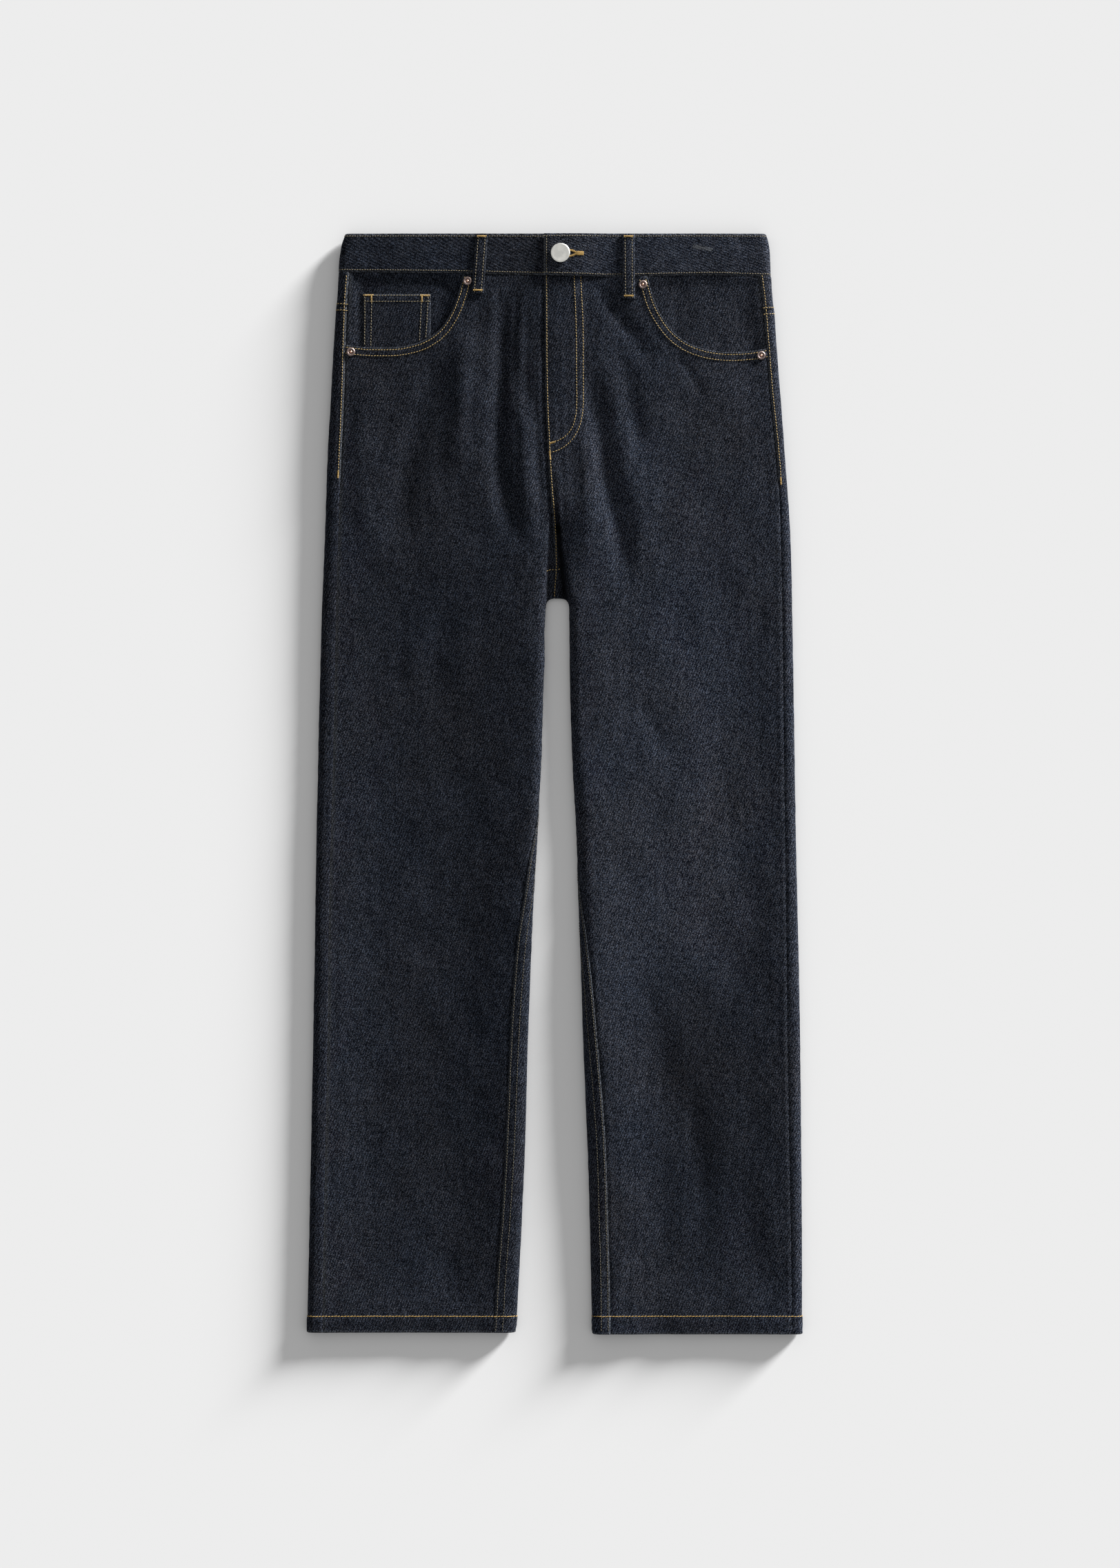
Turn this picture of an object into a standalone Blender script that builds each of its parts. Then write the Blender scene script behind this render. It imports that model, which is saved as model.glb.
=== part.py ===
# Straight leg jeans laid flat with the front up, at real size.
# X runs to the wearer's left, Y to the waist and Z up from the surface they lie on.
# Tables are in millimetres, and a drop is measured down from the waistband's top edge.
import math

import bmesh
import bpy
from mathutils import Vector

MM = 0.001
LENGTH = 1082.8  # waist edge to the lowest hem edge
CLOTH = 1.2  # one ply of denim with its seam allowances
DOUBLE = 2.4  # waistband and turned hems
LOOP_WALL = 1.5
SEAM_GAP = 0.3
EDGE = 0.25  # cut back from each seam line, so edges clear each other where the cloth curves
FOLD_EDGE = 0.55  # the same where a seam runs round a fold
FORK_EDGE = 0.85  # the same on the tight fold at the top of the gap
REST_GAP = 0.8  # least gap between the layers
LAP = CLOTH + SEAM_GAP  # how far a lapped piece lies above or below its neighbour
RIGHT, LEFT = "right", "left"  # the wearer's sides
FRONT, FOLD, BACK = 1, 0, -1  # upper layer, folded edge, lower layer
SIGN = {RIGHT: -1.0, LEFT: 1.0}


def table(names, *rows):
    return [dict(zip(names.split(), row)) for row in rows]


# The folded outer edges of the laid garment.
OUTER_FOLD = table(
    "drop right left",
    (0, -206.7, 208.8),
    (12, -210.0, 211.5),
    (38, -212.8, 213.5),
    (108, -217.6, 219.0),
    (217, -223.7, 227.1),
    (298, -226.4, 232.6),
    (380, -229.8, 234.6),
    (584, -234.6, 238.0),
    (788, -238.0, 242.2),
    (992, -242.1, 244.0),
    (1083, -244.1, 244.1),
)
# The folded inner edges of the legs, below the rounded top of the gap between them.
INNER_FOLD = table(
    "drop right left",
    (358, -8.2, 14.3),
    (380, -8.8, 14.3),
    (448, -10.9, 15.0),
    (516, -12.9, 17.7),
    (652, -20.4, 23.8),
    (788, -25.8, 27.9),
    (924, -29.9, 33.3),
    (1060, -36.7, 36.7),
    (1083, -38.8, 37.4),
)
GAP_TOP = 358.0
GAP_ROUND = 12.0  # height of the gap's rounded top
OUT_SHARE = 0.32  # share of a leg's width over which its outer fold's height runs into the middle's
IN_SHARE = 0.38  # the same for its inner fold
# Height of the upper layer's middle, at each fold and half way across each leg.
TOP = table(
    "drop right_out right_mid right_in left_in left_mid left_out",
    (0, 10.0, 11.0, 11.0, 11.0, 11.0, 10.0),
    (60, 11.2, 11.8, 10.8, 10.8, 11.6, 10.6),
    (150, 11.0, 11.6, 9.6, 9.6, 11.6, 10.6),
    (260, 10.2, 10.6, 9.8, 9.8, 11.0, 10.2),
    (330, 9.8, 9.0, 10.0, 10.5, 9.8, 9.8),
    (400, 9.4, 7.0, 10.5, 11.0, 8.0, 9.4),
    (500, 9.0, 4.8, 9.8, 10.8, 6.0, 9.2),
    (620, 9.4, 3.6, 9.9, 11.5, 5.0, 9.4),
    (760, 9.4, 3.2, 9.9, 14.0, 4.6, 9.4),
    (870, 9.4, 3.2, 9.9, 15.0, 5.0, 9.4),
    (960, 9.4, 3.2, 9.9, 12.5, 4.6, 9.4),
    (1020, 9.5, 4.4, 9.9, 11.0, 5.2, 9.5),
    (1062, 9.5, 8.0, 9.8, 10.4, 8.0, 9.6),
    (1083, 9.5, 8.4, 9.8, 10.4, 8.4, 9.6),
)
# Width over which the upper layer rounds down to each fold.
ROLL = table(
    "drop right_out right_in left_in left_out",
    (0, 6, 8, 8, 6),
    (358, 7, 8, 9, 7),
    (500, 7, 9, 11, 7),
    (760, 7, 9, 17, 7),
    (870, 7, 9, 22, 7),
    (1000, 7, 9, 13, 7),
    (1083, 7, 9, 9, 7),
)
LOWER_ROLL = 4.0
QUARTER_TURN = 1.25  # length of cloth round a quarter of a fold, over the roll's width
TIP_RISE = 2.6  # height of a folded edge's tip above the lower layer
# Height of the lower layer's middle: the seat lies on its pockets and loops.
UNDER = table(
    "drop height",
    (0, 2.4),
    (310, 2.4),
    (360, 0.6),
    (1061, 0.6),
    (1067, 1.2),
    (1083, 1.2),
)
BAND_UNDER = 3.0
BAND_TIP = 0.45  # how far up the waistband's folded ends point
# Seams: where each side seam and the front rise show on the upper layer.
SIDE_SEAM = table(
    "drop right left",
    (36, -202.0, 201.4),
    (64, -204.2, 205.0),
    (115, -206.1, 209.2),
    (148, -206.8, 211.8),
    (240, -210.8, 220.5),
    (353, -214.6, 224.0),
    (516, -218.0, 226.0),
    (655, -222.0, 228.0),
    (788, -223.6, 229.4),
    (997, -227.6, 233.0),
    (1083, -228.5, 234.0),
)
FRONT_RISE = table(
    "drop middle",
    (0, -9.9),
    (40, -9.5),
    (149, -8.8),
    (207, -6.5),
    (244, -4.4),
    (281, -1.3),
    (311, 0.2),
    (331, 0.9),
    (345, 0.2),
    (358, -0.2),
)
# Inseam, measured round the inner fold: positive on the upper layer, negative under it.
INSEAM = table(
    "drop right left",
    (372, -2.0, -2.0),
    (386, -5.0, -5.0),
    (410, -7.0, -7.0),
    (500, -7.0, -7.0),
    (530, -5.0, -7.0),
    (555, -1.5, -7.0),
    (575, 2.0, -6.0),
    (595, 5.5, -4.0),
    (617, 8.6, -1.0),
    (645, 10.9, 3.5),
    (695, 16.3, 10.0),
    (762, 19.2, 16.0),
    (877, 21.0, 21.2),
    (957, 22.2, 20.8),
    (1037, 24.0, 20.6),
    (1083, 23.0, 19.4),
)
# Rows that end along the gap's rounded top: drops at the side seam and near the gap, ends on the fold.
FORK = table(
    "drop near right left",
    (351, 351, -0.7, 0.3),
    (356, 355, -4.2, 7.0),
    (361, 360, -7.0, 12.0),
    (367, 366, -8.6, 14.6),
)
NEAR_X = 22.0  # how far from the middle the near drops are met
BENT = 6.5  # an inseam nearer the fold than this lies on its curve
FORK_X = -0.2  # the rises' place at the gap's top
# Front pocket mouths, from the side seam up to the waistband.
MOUTH = {
    RIGHT: table(
        "x drop",
        (-206.4, 109.4),
        (-190, 111.6),
        (-172, 112.3),
        (-152.7, 111.7),
        (-134.6, 107.7),
        (-122, 101.6),
        (-111.5, 92.6),
        (-102.6, 79.2),
        (-95.8, 62.6),
        (-89.4, 38.9),
    ),
    LEFT: table(
        "x drop",
        (209.6, 112.8),
        (196, 115.4),
        (178, 116.8),
        (159.8, 116.1),
        (144.2, 112.8),
        (129.6, 106.8),
        (116.6, 96.6),
        (106.2, 82.8),
        (98.6, 67.8),
        (91.0, 41.4),
    ),
}
FACING_DEPTH = {RIGHT: 2 * LAP, LEFT: LAP}  # below the front panel; the right one carries the coin pocket
MOUTH_TUCK = 10.0  # how far a pocket facing runs on under its front panel
FACING = {  # how a facing's edges are drawn: its hidden foot is laid out from the corner
    "corner_x": 204, "corner_drop": 40, "top_drop": 60, "foot_drop": 118, "inset": 2 * SEAM_GAP, "foot": 3,
}
# The waistband's lower seam on the upper layer.
BAND_SEAM = table(
    "x drop",
    (-215, 37.2),
    (-100, 38.4),
    (-10, 40.3),
    (52, 42.0),
    (160, 40.2),
    (215, 41.8),
)
BAND_END_X = -10.2  # free end of the wearer's left half, on top
BAND_UNDERLAP_X = 21.0  # end of the wearer's right half, below it
BAND_LAP = DOUBLE + SEAM_GAP
BAND_LAP_FROM = 24.0  # the overlapping end comes down to the band's own height from here
BAND_LAP_FADE = 30.0
BAND_DEPTH = 39.0  # between its edges, at the side folds
RISE_TOP = 40.0  # drop where the front rise meets the waistband
# Main creases: height above or below the cloth round them, half width, line of (x, drop).
CREASES = table(
    "height half line",
    (-6.5, 10.0, ((-47, 44), (-52, 111), (-56, 203), (-50, 257), (-36, 312))),
    (-3.0, 13.0, ((-110, 112), (-132, 183), (-145, 230), (-157, 315))),
    (-6.5, 11.0, ((34, 130), (44, 175), (53, 240), (68, 310), (60, 362))),
    (-3.0, 10.0, ((44, 48), (70, 90), (98, 132))),
    (-3.0, 9.0, ((58, 94), (72, 150), (87, 220))),
    (-5.0, 12.0, ((3, 285), (3, 330), (3, 372))),
    (3.0, 10.0, ((-28, 150), (-27, 240), (-20, 320))),
    (3.0, 9.0, ((30, 190), (34, 290), (28, 340))),
    (3.0, 12.0, ((-84, 80), (-90, 145), (-98, 240))),
    (-1.6, 12.0, ((128, 820), (142, 900), (146, 1010))),
)
CREASE_END = 0.25  # share of a crease's length over which each end fades out
YOKE_BEND_X = 105
SIDE_X = 205  # near both side seams, where a seat row's drop is read
BACK_TOP_DROP = 112  # first straight row of the back panels
YOKE_SEAM = table("x drop", (-225, 69.7), (-105, 84.0), (0, 98.0), (105, 86.0), (225, 73.7))
LOOP_WIDTH = 11.4
LOOP_SLACK = 0.6  # rise of a loop off the band at its middle
LOOP_TOP = 1.0
LOOP_MIDDLE = 20.0
LOOP_STEP = (-0.5, 3.5)  # rows either side of the band's lower seam, where a loop steps down
LOOPS = table(
    "name layer top_x low_x length",
    ("belt_loop_front_right", FRONT, -71.4, -75.6, 59.0),
    ("belt_loop_front_left", FRONT, 72.8, 73.1, 64.5),
    ("belt_loop_side_right", BACK, -152.0, -152.0, 61.0),
    ("belt_loop_side_left", BACK, 152.0, 152.0, 61.0),
    ("belt_loop_center_back", BACK, 0.0, 0.0, 61.0),
)
# Back pocket: half widths down its height, from its mouth to its point.
POCKET_X = 104.0
POCKET_TOP = 121.0
POCKET_SHAPE = table("height half", (0, 79.0), (120, 67.0), (142, 63.0), (164, 4.0))
COIN_POCKET = {"left": -188.4, "right": -122.0, "top": 59.2, "tuck": 4.0}
COIN_COLUMNS = 6
BUTTON = {"x": 5.8, "drop": 19.2}
BUTTON_PROFILE = table(
    "radius height", (0, 2.3), (7.3, 2.4), (8.5, 2.6), (9.5, 1.8), (9.1, 0.8), (6.0, 0), (0, 0),
)
RIVET_RADIUS = 4.3
RIVET_PROFILE = table(
    "radius height", (0, 1.9), (1.5, 1.8), (1.9, 1.0), (3.4, 1.3), (4.3, 0.52), (4.3, 0), (0, 0),
)
RIVETS = table(
    "name x drop",
    ("rivet_right_inner", -85.6, 46.4),
    ("rivet_right_outer", -200.4, 116.2),
    ("rivet_left_inner", 86.9, 49.8),
    ("rivet_left_outer", 203.4, 119.6),
)
ROUND_STEPS = 10
TOP_ROWS = 3  # rows between the mouth line and the first straight row
MOUTH_COLUMNS = 8
RISE_COLUMNS = 5
HIP_DROPS = (150, 180, 212, 244, 272, 298, 322, 346)
LEG_DROPS = (375, 392, 430, 480, 525, 555, 575, 595, 617, 645, 695, 762, 820, 880, 960, 1061, 1067)
HEM_TOP = 1064.0
HEM_ROOM = 5.0  # the hem's second ply is allowed for from this far above it
HEM_DROP = {RIGHT: 1081.2, LEFT: LENGTH}
END_STEPS = (0, 3, 7, 12, 19, 28, 41)  # columns close to a folded inner edge
SIDE_STEPS = (0, 9, 14, 18.5, 23, 30)  # columns round a folded outer edge
BACK_MIDDLE = 3
BAND_STEPS = 13
BAND_ROLL = 6.0
BAND_ROWS = (0.0, 0.33, 0.67, 1.0)
FACING_ROWS = (0.0, 0.33, 0.67, 1.0)
HALVES = (0.0, 0.5, 1.0)  # rows of the yokes and the coin pocket

COLOURS = table(
    "name colour roughness metallic",
    ("denim", (0.016, 0.019, 0.026, 1), 0.85, 0.0),
    ("copper", (0.30, 0.20, 0.16, 1), 0.4, 1.0),
    ("silver", (0.78, 0.77, 0.73, 1), 0.3, 1.0),
)


def read(rows, name, place, key="drop"):
    """Smooth value of a column, held level past the table's ends."""
    if place <= rows[0][key]:
        return rows[0][name]
    if place >= rows[-1][key]:
        return rows[-1][name]
    index = 1
    while rows[index][key] < place:
        index += 1
    low, high = rows[index - 1], rows[index]
    step = high[key] - low[key]

    def slope(i):
        before, after = rows[max(i - 1, 0)], rows[min(i + 1, len(rows) - 1)]
        return (after[name] - before[name]) / (after[key] - before[key])

    t = (place - low[key]) / step
    keep = (1 + 2 * t) * (1 - t) ** 2 * low[name] + (3 - 2 * t) * t * t * high[name]
    lean = t * (1 - t) ** 2 * slope(index - 1) - t * t * (1 - t) * slope(index)
    return keep + lean * step


def linear(rows, name, place, key="drop"):
    for low, high in zip(rows, rows[1:]):
        if place <= high[key]:
            t = max(0.0, (place - low[key]) / (high[key] - low[key]))
            return low[name] + t * (high[name] - low[name])
    return rows[-1][name]


def ease(t):
    t = min(max(t, 0.0), 1.0)
    return t * t * (3 - 2 * t)


def outer_fold(side, drop):
    return read(OUTER_FOLD, side, drop) - SIGN[side] * CLOTH / 2


def inner_fold(side, drop):
    right = read(INNER_FOLD, RIGHT, drop) - CLOTH / 2
    left = read(INNER_FOLD, LEFT, drop) + CLOTH / 2
    t = min(max((drop - GAP_TOP) / GAP_ROUND, 0.0), 1.0)
    half = (left - right) / 2 * math.sqrt(1 - (1 - t) ** 2)
    return (left + right) / 2 + SIGN[side] * half


def gap_top_drop(x):
    """Drop of the gap's rounded top under a point between the legs."""
    full = GAP_TOP + GAP_ROUND
    right, left = inner_fold(RIGHT, full), inner_fold(LEFT, full)
    across = min(abs(x - (left + right) / 2) / ((left - right) / 2), 1.0)
    return full - GAP_ROUND * math.sqrt(1 - across * across)


ARCH = [Vector((inner_fold(side, GAP_TOP + GAP_ROUND * t * t), GAP_TOP + GAP_ROUND * t * t))
        for side, ts in ((RIGHT, (1, 0.8, 0.6, 0.4, 0.2, 0)), (LEFT, (0.2, 0.4, 0.6, 0.8, 1)))
        for t in ts]


def line_distance(point, line):
    """Distance to a polyline, and how far along it the nearest point is, from 0 to 1."""
    best, where = 1e9, 0.0
    for index, (start, end) in enumerate(zip(line, line[1:])):
        run = end - start
        t = min(max((point - start).dot(run) / run.length_squared, 0.0), 1.0)
        gap = (point - start - run * t).length
        if gap < best:
            best, where = gap, (index + t) / (len(line) - 1)
    return best, where


def gap_distance(x, drop):
    if drop > GAP_TOP + GAP_ROUND:
        return max(inner_fold(RIGHT, drop) - x, x - inner_fold(LEFT, drop))
    return line_distance(Vector((x, drop)), ARCH)[0]


CREASE_LINES = [(row["height"], row["half"], [Vector(p) for p in row["line"]]) for row in CREASES]


def top_height(x, drop):
    """Height of the upper layer's middle away from the folds."""
    side = RIGHT if x < read(FRONT_RISE, "middle", drop) else LEFT
    inner = read(FRONT_RISE, "middle", drop) if drop < GAP_TOP else inner_fold(side, drop)
    outer = outer_fold(side, drop)
    across = min(max((x - outer) / (inner - outer), 0.0), 1.0)
    middle = read(TOP, side + "_mid", drop)
    height = middle
    height += (read(TOP, side + "_out", drop) - middle) * (1 - ease(across / OUT_SHARE))
    height += (read(TOP, side + "_in", drop) - middle) * (1 - ease((1 - across) / IN_SHARE))
    for rise, half, line in CREASE_LINES:
        distance, where = line_distance(Vector((x, drop)), line)
        if distance < 3 * half:
            fade = ease(where / CREASE_END) * ease((1 - where) / CREASE_END)
            height += rise * fade * math.exp(-((distance / half) ** 2))
    ply = DOUBLE if drop > HEM_TOP - HEM_ROOM else CLOTH
    floor = linear(UNDER, "height", drop) + ply + REST_GAP
    spare = height - floor
    return floor + (spare + math.sqrt(spare * spare + 1.0)) / 2


def rounded(distance, roll):
    t = min(max(distance / roll, 0.0), 1.0)
    return math.sqrt(1 - (1 - t) ** 2)


def cloth(layer, x, drop):
    """Point on the middle of the cloth, as x, drop and height."""
    tip = linear(UNDER, "height", drop) + TIP_RISE
    if layer == FOLD:
        return Vector((x, drop, tip))
    right, left = x - outer_fold(RIGHT, drop), outer_fold(LEFT, drop) - x
    inner = gap_distance(x, drop)
    if layer == BACK:
        sink = rounded(min(right, left), LOWER_ROLL) * rounded(inner, LOWER_ROLL)
        return Vector((x, drop, tip - TIP_RISE * sink))
    middle = (inner_fold(RIGHT, drop) + inner_fold(LEFT, drop)) / 2
    inner_side = RIGHT if x < middle else LEFT
    lift = rounded(right, read(ROLL, "right_out", drop)) * rounded(left, read(ROLL, "left_out", drop))
    lift *= rounded(inner, read(ROLL, inner_side + "_in", drop))
    return Vector((x, drop, tip + (top_height(x, drop) - tip) * lift))


def strand(anchors, steps=20):
    """Cloth points along straight stretches between anchors, close together at each anchor."""
    points = []
    for start, end in zip(anchors, anchors[1:]):
        layer = start[0] or end[0]
        for step in range(steps + 1):
            t = (1 - math.cos(math.pi * step / steps)) / 2
            x = start[1] + (end[1] - start[1]) * t
            drop = start[2] + (end[2] - start[2]) * t
            at_fold = (step == 0 and start[0] == FOLD) or (step == steps and end[0] == FOLD)
            points.append(cloth(FOLD if at_fold else layer, x, drop))
    return points


def lengths(points):
    total = [0.0]
    for start, end in zip(points, points[1:]):
        total.append(total[-1] + (end - start).length)
    return total


def place_along(points, places):
    """Points at the given distances along a polyline."""
    total = lengths(points)
    found = []
    index = 1
    for place in places:
        while index < len(points) - 1 and total[index] < place:
            index += 1
        step = total[index] - total[index - 1]
        t = (place - total[index - 1]) / step if step > 0 else 0.0
        found.append(points[index - 1].lerp(points[index], min(max(t, 0.0), 1.0)))
    return found


def trim(points, start, end):
    """A strand shortened at both ends, for the gap at a seam."""
    total = lengths(points)
    ends = place_along(points, (start, total[-1] - end))
    inside = [p for p, at in zip(points, total) if start + 0.01 < at < total[-1] - end - 0.01]
    return [ends[0]] + inside + [ends[1]]


def world(point):
    return (point.x * MM, (LENGTH / 2 - point.y) * MM, point.z * MM)


def shell(name, rows, wall, hem_from=None, flip=False):
    """A closed piece of cloth from rows of middle points, through Solidify."""
    mesh = bpy.data.meshes.new(name)
    bm = bmesh.new()
    grid = [[bm.verts.new(world(point)) for point in row] for row in rows]
    for upper, lower in zip(grid, grid[1:]):
        for a, b, c, d in zip(upper, upper[1:], lower[1:], lower):
            bm.faces.new((a, b, c, d) if flip else (d, c, b, a))
    bm.to_mesh(mesh)
    bm.free()
    piece = bpy.data.objects.new(name, mesh)
    solidify = piece.modifiers.new("cloth wall", "SOLIDIFY")
    solidify.thickness = wall * MM
    solidify.offset = 0.0
    if hem_from is not None:
        group = piece.vertex_groups.new(name="turned hem")
        columns = len(rows[0])
        for index in range(len(mesh.vertices)):
            folded = rows[index // columns][index % columns].y > hem_from
            group.add([index], 1.0 if folded else wall / DOUBLE, "REPLACE")
        solidify.vertex_group = "turned hem"
        solidify.thickness = DOUBLE * MM
    return finish(piece, "denim")


def finish(piece, colour):
    piece.data.materials.append(MATERIALS[colour])
    JEANS.objects.link(piece)
    return piece


def band_drop(x):
    return linear(BAND_SEAM, "drop", x, "x")


def under_band_drop(x):
    right, left = BAND_SEAM[0], BAND_SEAM[-1]
    return right["drop"] + (left["drop"] - right["drop"]) * (x - right["x"]) / (left["x"] - right["x"])


def seam_anchor(side, drop):
    """The inseam's place round the inner fold, as strand anchors from the fold on."""
    over = read(INSEAM, side, drop)
    fold = inner_fold(side, drop)
    layer = FRONT if over > 0 else BACK
    roll = read(ROLL, side + "_in", drop) if over > 0 else LOWER_ROLL
    quarter = QUARTER_TURN * roll
    if abs(over) < quarter:
        reach = roll * (1 - math.cos(math.pi / 2 * abs(over) / quarter))
    else:
        reach = roll + abs(over) - quarter
    return layer, fold + SIGN[side] * reach, fold


def leg_row(side, drop, panel):
    """One row of a front or back panel below the gap's top, from side seam to inseam."""
    layer, x, fold = seam_anchor(side, drop)
    fold_anchor = (FOLD, fold, drop)
    if panel == FRONT:
        anchors = [(FRONT, read(SIDE_SEAM, side, drop), drop)]
        if layer == BACK:
            anchors.append(fold_anchor)
    else:
        anchors = [(FRONT, read(SIDE_SEAM, side, drop), drop), (FOLD, outer_fold(side, drop), drop),
                   (BACK, (outer_fold(side, drop) + fold) / 2, drop)]
        if layer == FRONT:
            anchors.append(fold_anchor)
    if abs(x - fold) > 0.05:
        anchors.append((layer, x, drop))
    elif anchors[-1] != fold_anchor:
        anchors.append(fold_anchor)
    bent = abs(read(INSEAM, side, drop)) < BENT
    return trim(strand(anchors), EDGE, FOLD_EDGE if bent else EDGE)


def spread(total, starts, middle, ends):
    """Column places along a row: set steps at both ends, even steps between them."""
    inner = total - ends[-1] - starts[-1]
    between = [starts[-1] + inner * (i + 1) / (middle + 1) for i in range(middle)]
    return list(starts) + between + [total - end for end in reversed(ends)]


def front_columns(points, drop):
    """Columns of a front row: even at the hip, close together near the leg's inner fold."""
    total = lengths(points)[-1]
    count = MOUTH_COLUMNS + RISE_COLUMNS
    leg = spread(total, (0,), count - len(END_STEPS), END_STEPS)
    blend = ease((drop - HIP_DROPS[0]) / (GAP_TOP - HIP_DROPS[0]))
    even = [total * i / count for i in range(count + 1)]
    return place_along(points, [e + (g - e) * blend for e, g in zip(even, leg)])


def front_row(side, drop):
    """A front row at the hip, from the side seam to the front rise."""
    seam, rise = read(SIDE_SEAM, side, drop), read(FRONT_RISE, "middle", drop)
    return trim(strand([(FRONT, seam, drop), (FRONT, rise, drop)]), EDGE, EDGE)


def fork_rows(side, panel):
    """Rows that end on the rounded top of the gap between the legs."""
    rows = []
    for row in FORK:
        drop, fold_x = row["drop"], row[side]
        anchors = [(FRONT, read(SIDE_SEAM, side, drop), drop)]
        if panel == BACK:
            anchors.append((FOLD, outer_fold(side, drop), drop))
        anchors += [(panel, SIGN[side] * NEAR_X, row["near"]), (FOLD, fold_x, gap_top_drop(fold_x))]
        rows.append(trim(strand(anchors), EDGE, FORK_EDGE))
    return rows


def mouth_edge(side):
    """Even places along a pocket mouth."""
    mouth = [Vector((row["x"], row["drop"], 0)) for row in MOUTH[side]]
    total = lengths(mouth)[-1]
    return place_along(mouth, [total * i / MOUTH_COLUMNS for i in range(MOUTH_COLUMNS + 1)])


def mouth_line(side):
    """Top edge of a front panel: the pocket mouth, then the waistband seam."""
    edge = mouth_edge(side)
    edge[0].x = read(SIDE_SEAM, side, edge[0].y) - SIGN[side] * EDGE
    start, end = edge[-1].x, read(FRONT_RISE, "middle", RISE_TOP) + SIGN[side] * EDGE
    seam = [start + (end - start) * i / RISE_COLUMNS for i in range(RISE_COLUMNS + 1)]
    return edge[:-1] + [Vector((x, band_drop(x) + SEAM_GAP, 0)) for x in seam]


def front_panel(side):
    hip = [front_columns(front_row(side, drop), drop) for drop in HIP_DROPS]
    rows = []
    for step in range(TOP_ROWS):
        flat = [edge.lerp(straight, step / TOP_ROWS) for edge, straight in zip(mouth_line(side), hip[0])]
        rows.append([cloth(FRONT, point.x, point.y) for point in flat])
    rows += hip
    rows += [front_columns(points, GAP_TOP) for points in fork_rows(side, FRONT)]
    for drop in LEG_DROPS + (HEM_DROP[side],):
        rows.append(front_columns(leg_row(side, drop, FRONT), drop))
    return shell("front_panel_" + side, rows, CLOTH, HEM_TOP, side == RIGHT)


def back_columns(points):
    total = lengths(points)[-1]
    return place_along(points, spread(total, SIDE_STEPS, BACK_MIDDLE, END_STEPS))


def seat_row(side, drop_at):
    """A back row above the gap: side seam, outer fold, then the lower layer to the back rise."""
    seam_drop = drop_at(SIGN[side] * SIDE_X, FRONT)
    seam_x, fold_x = read(SIDE_SEAM, side, seam_drop), outer_fold(side, seam_drop)
    anchors = [(FRONT, seam_x, seam_drop), (FOLD, fold_x, drop_at(fold_x, BACK))]
    anchors += [(BACK, x, drop_at(x, BACK)) for x in (SIGN[side] * YOKE_BEND_X, FORK_X)]
    return trim(strand(anchors), EDGE, EDGE)


def back_panel(side):
    def yoke_drop(x, layer):
        return linear(YOKE_SEAM, "drop", x, "x") + SEAM_GAP

    drops = (BACK_TOP_DROP,) + HIP_DROPS
    rows = [seat_row(side, yoke_drop)]
    rows += [seat_row(side, lambda x, layer, drop=drop: drop) for drop in drops]
    rows += fork_rows(side, BACK)
    rows += [leg_row(side, drop, BACK) for drop in LEG_DROPS + (HEM_DROP[side],)]
    rows = [back_columns(points) for points in rows]
    return shell("back_panel_" + side, rows, CLOTH, HEM_TOP, side == LEFT)


def back_yoke(side):
    rows = []
    for t in HALVES:
        def drop_at(x, layer, t=t):
            upper = (band_drop(x) if layer == FRONT else under_band_drop(x)) + SEAM_GAP
            lower = linear(YOKE_SEAM, "drop", x, "x")
            return upper + (lower - upper) * t

        rows.append(back_columns(seat_row(side, drop_at)))
    return shell("back_yoke_" + side, rows, CLOTH, flip=side == LEFT)


def waistband():
    """One strip from the free left end, round both folds, to the right end under it."""
    rows = []
    inset = (DOUBLE - CLOTH) / 2
    for t in BAND_ROWS:
        left, right = outer_fold(LEFT, BAND_DEPTH * t) - inset, outer_fold(RIGHT, BAND_DEPTH * t) + inset
        points = []
        for layer, start, end in ((FRONT, BAND_END_X, left), (BACK, left, right),
                                  (FRONT, right, BAND_UNDERLAP_X)):
            for step in range(1 if points else 0, BAND_STEPS + 1):
                x = start + (end - start) * (1 - math.cos(math.pi * step / BAND_STEPS)) / 2
                drop = t * (band_drop(x) if layer == FRONT else under_band_drop(x))
                point = band_point(layer, x, drop, left, right)
                if end == left:
                    point.z += BAND_LAP * (1 - ease((x - BAND_LAP_FROM) / BAND_LAP_FADE))
                points.append(point)
        rows.append(points)
    return shell("waistband", rows, DOUBLE, flip=True)


def band_point(layer, x, drop, left, right):
    tip = BAND_UNDER + (top_height(x, drop) - BAND_UNDER) * BAND_TIP
    edge = min(x - right, left - x)
    if layer == BACK:
        return Vector((x, drop, tip - (tip - BAND_UNDER) * rounded(edge, BAND_ROLL)))
    return Vector((x, drop, tip + (top_height(x, drop) - tip) * rounded(edge, BAND_ROLL)))


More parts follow.
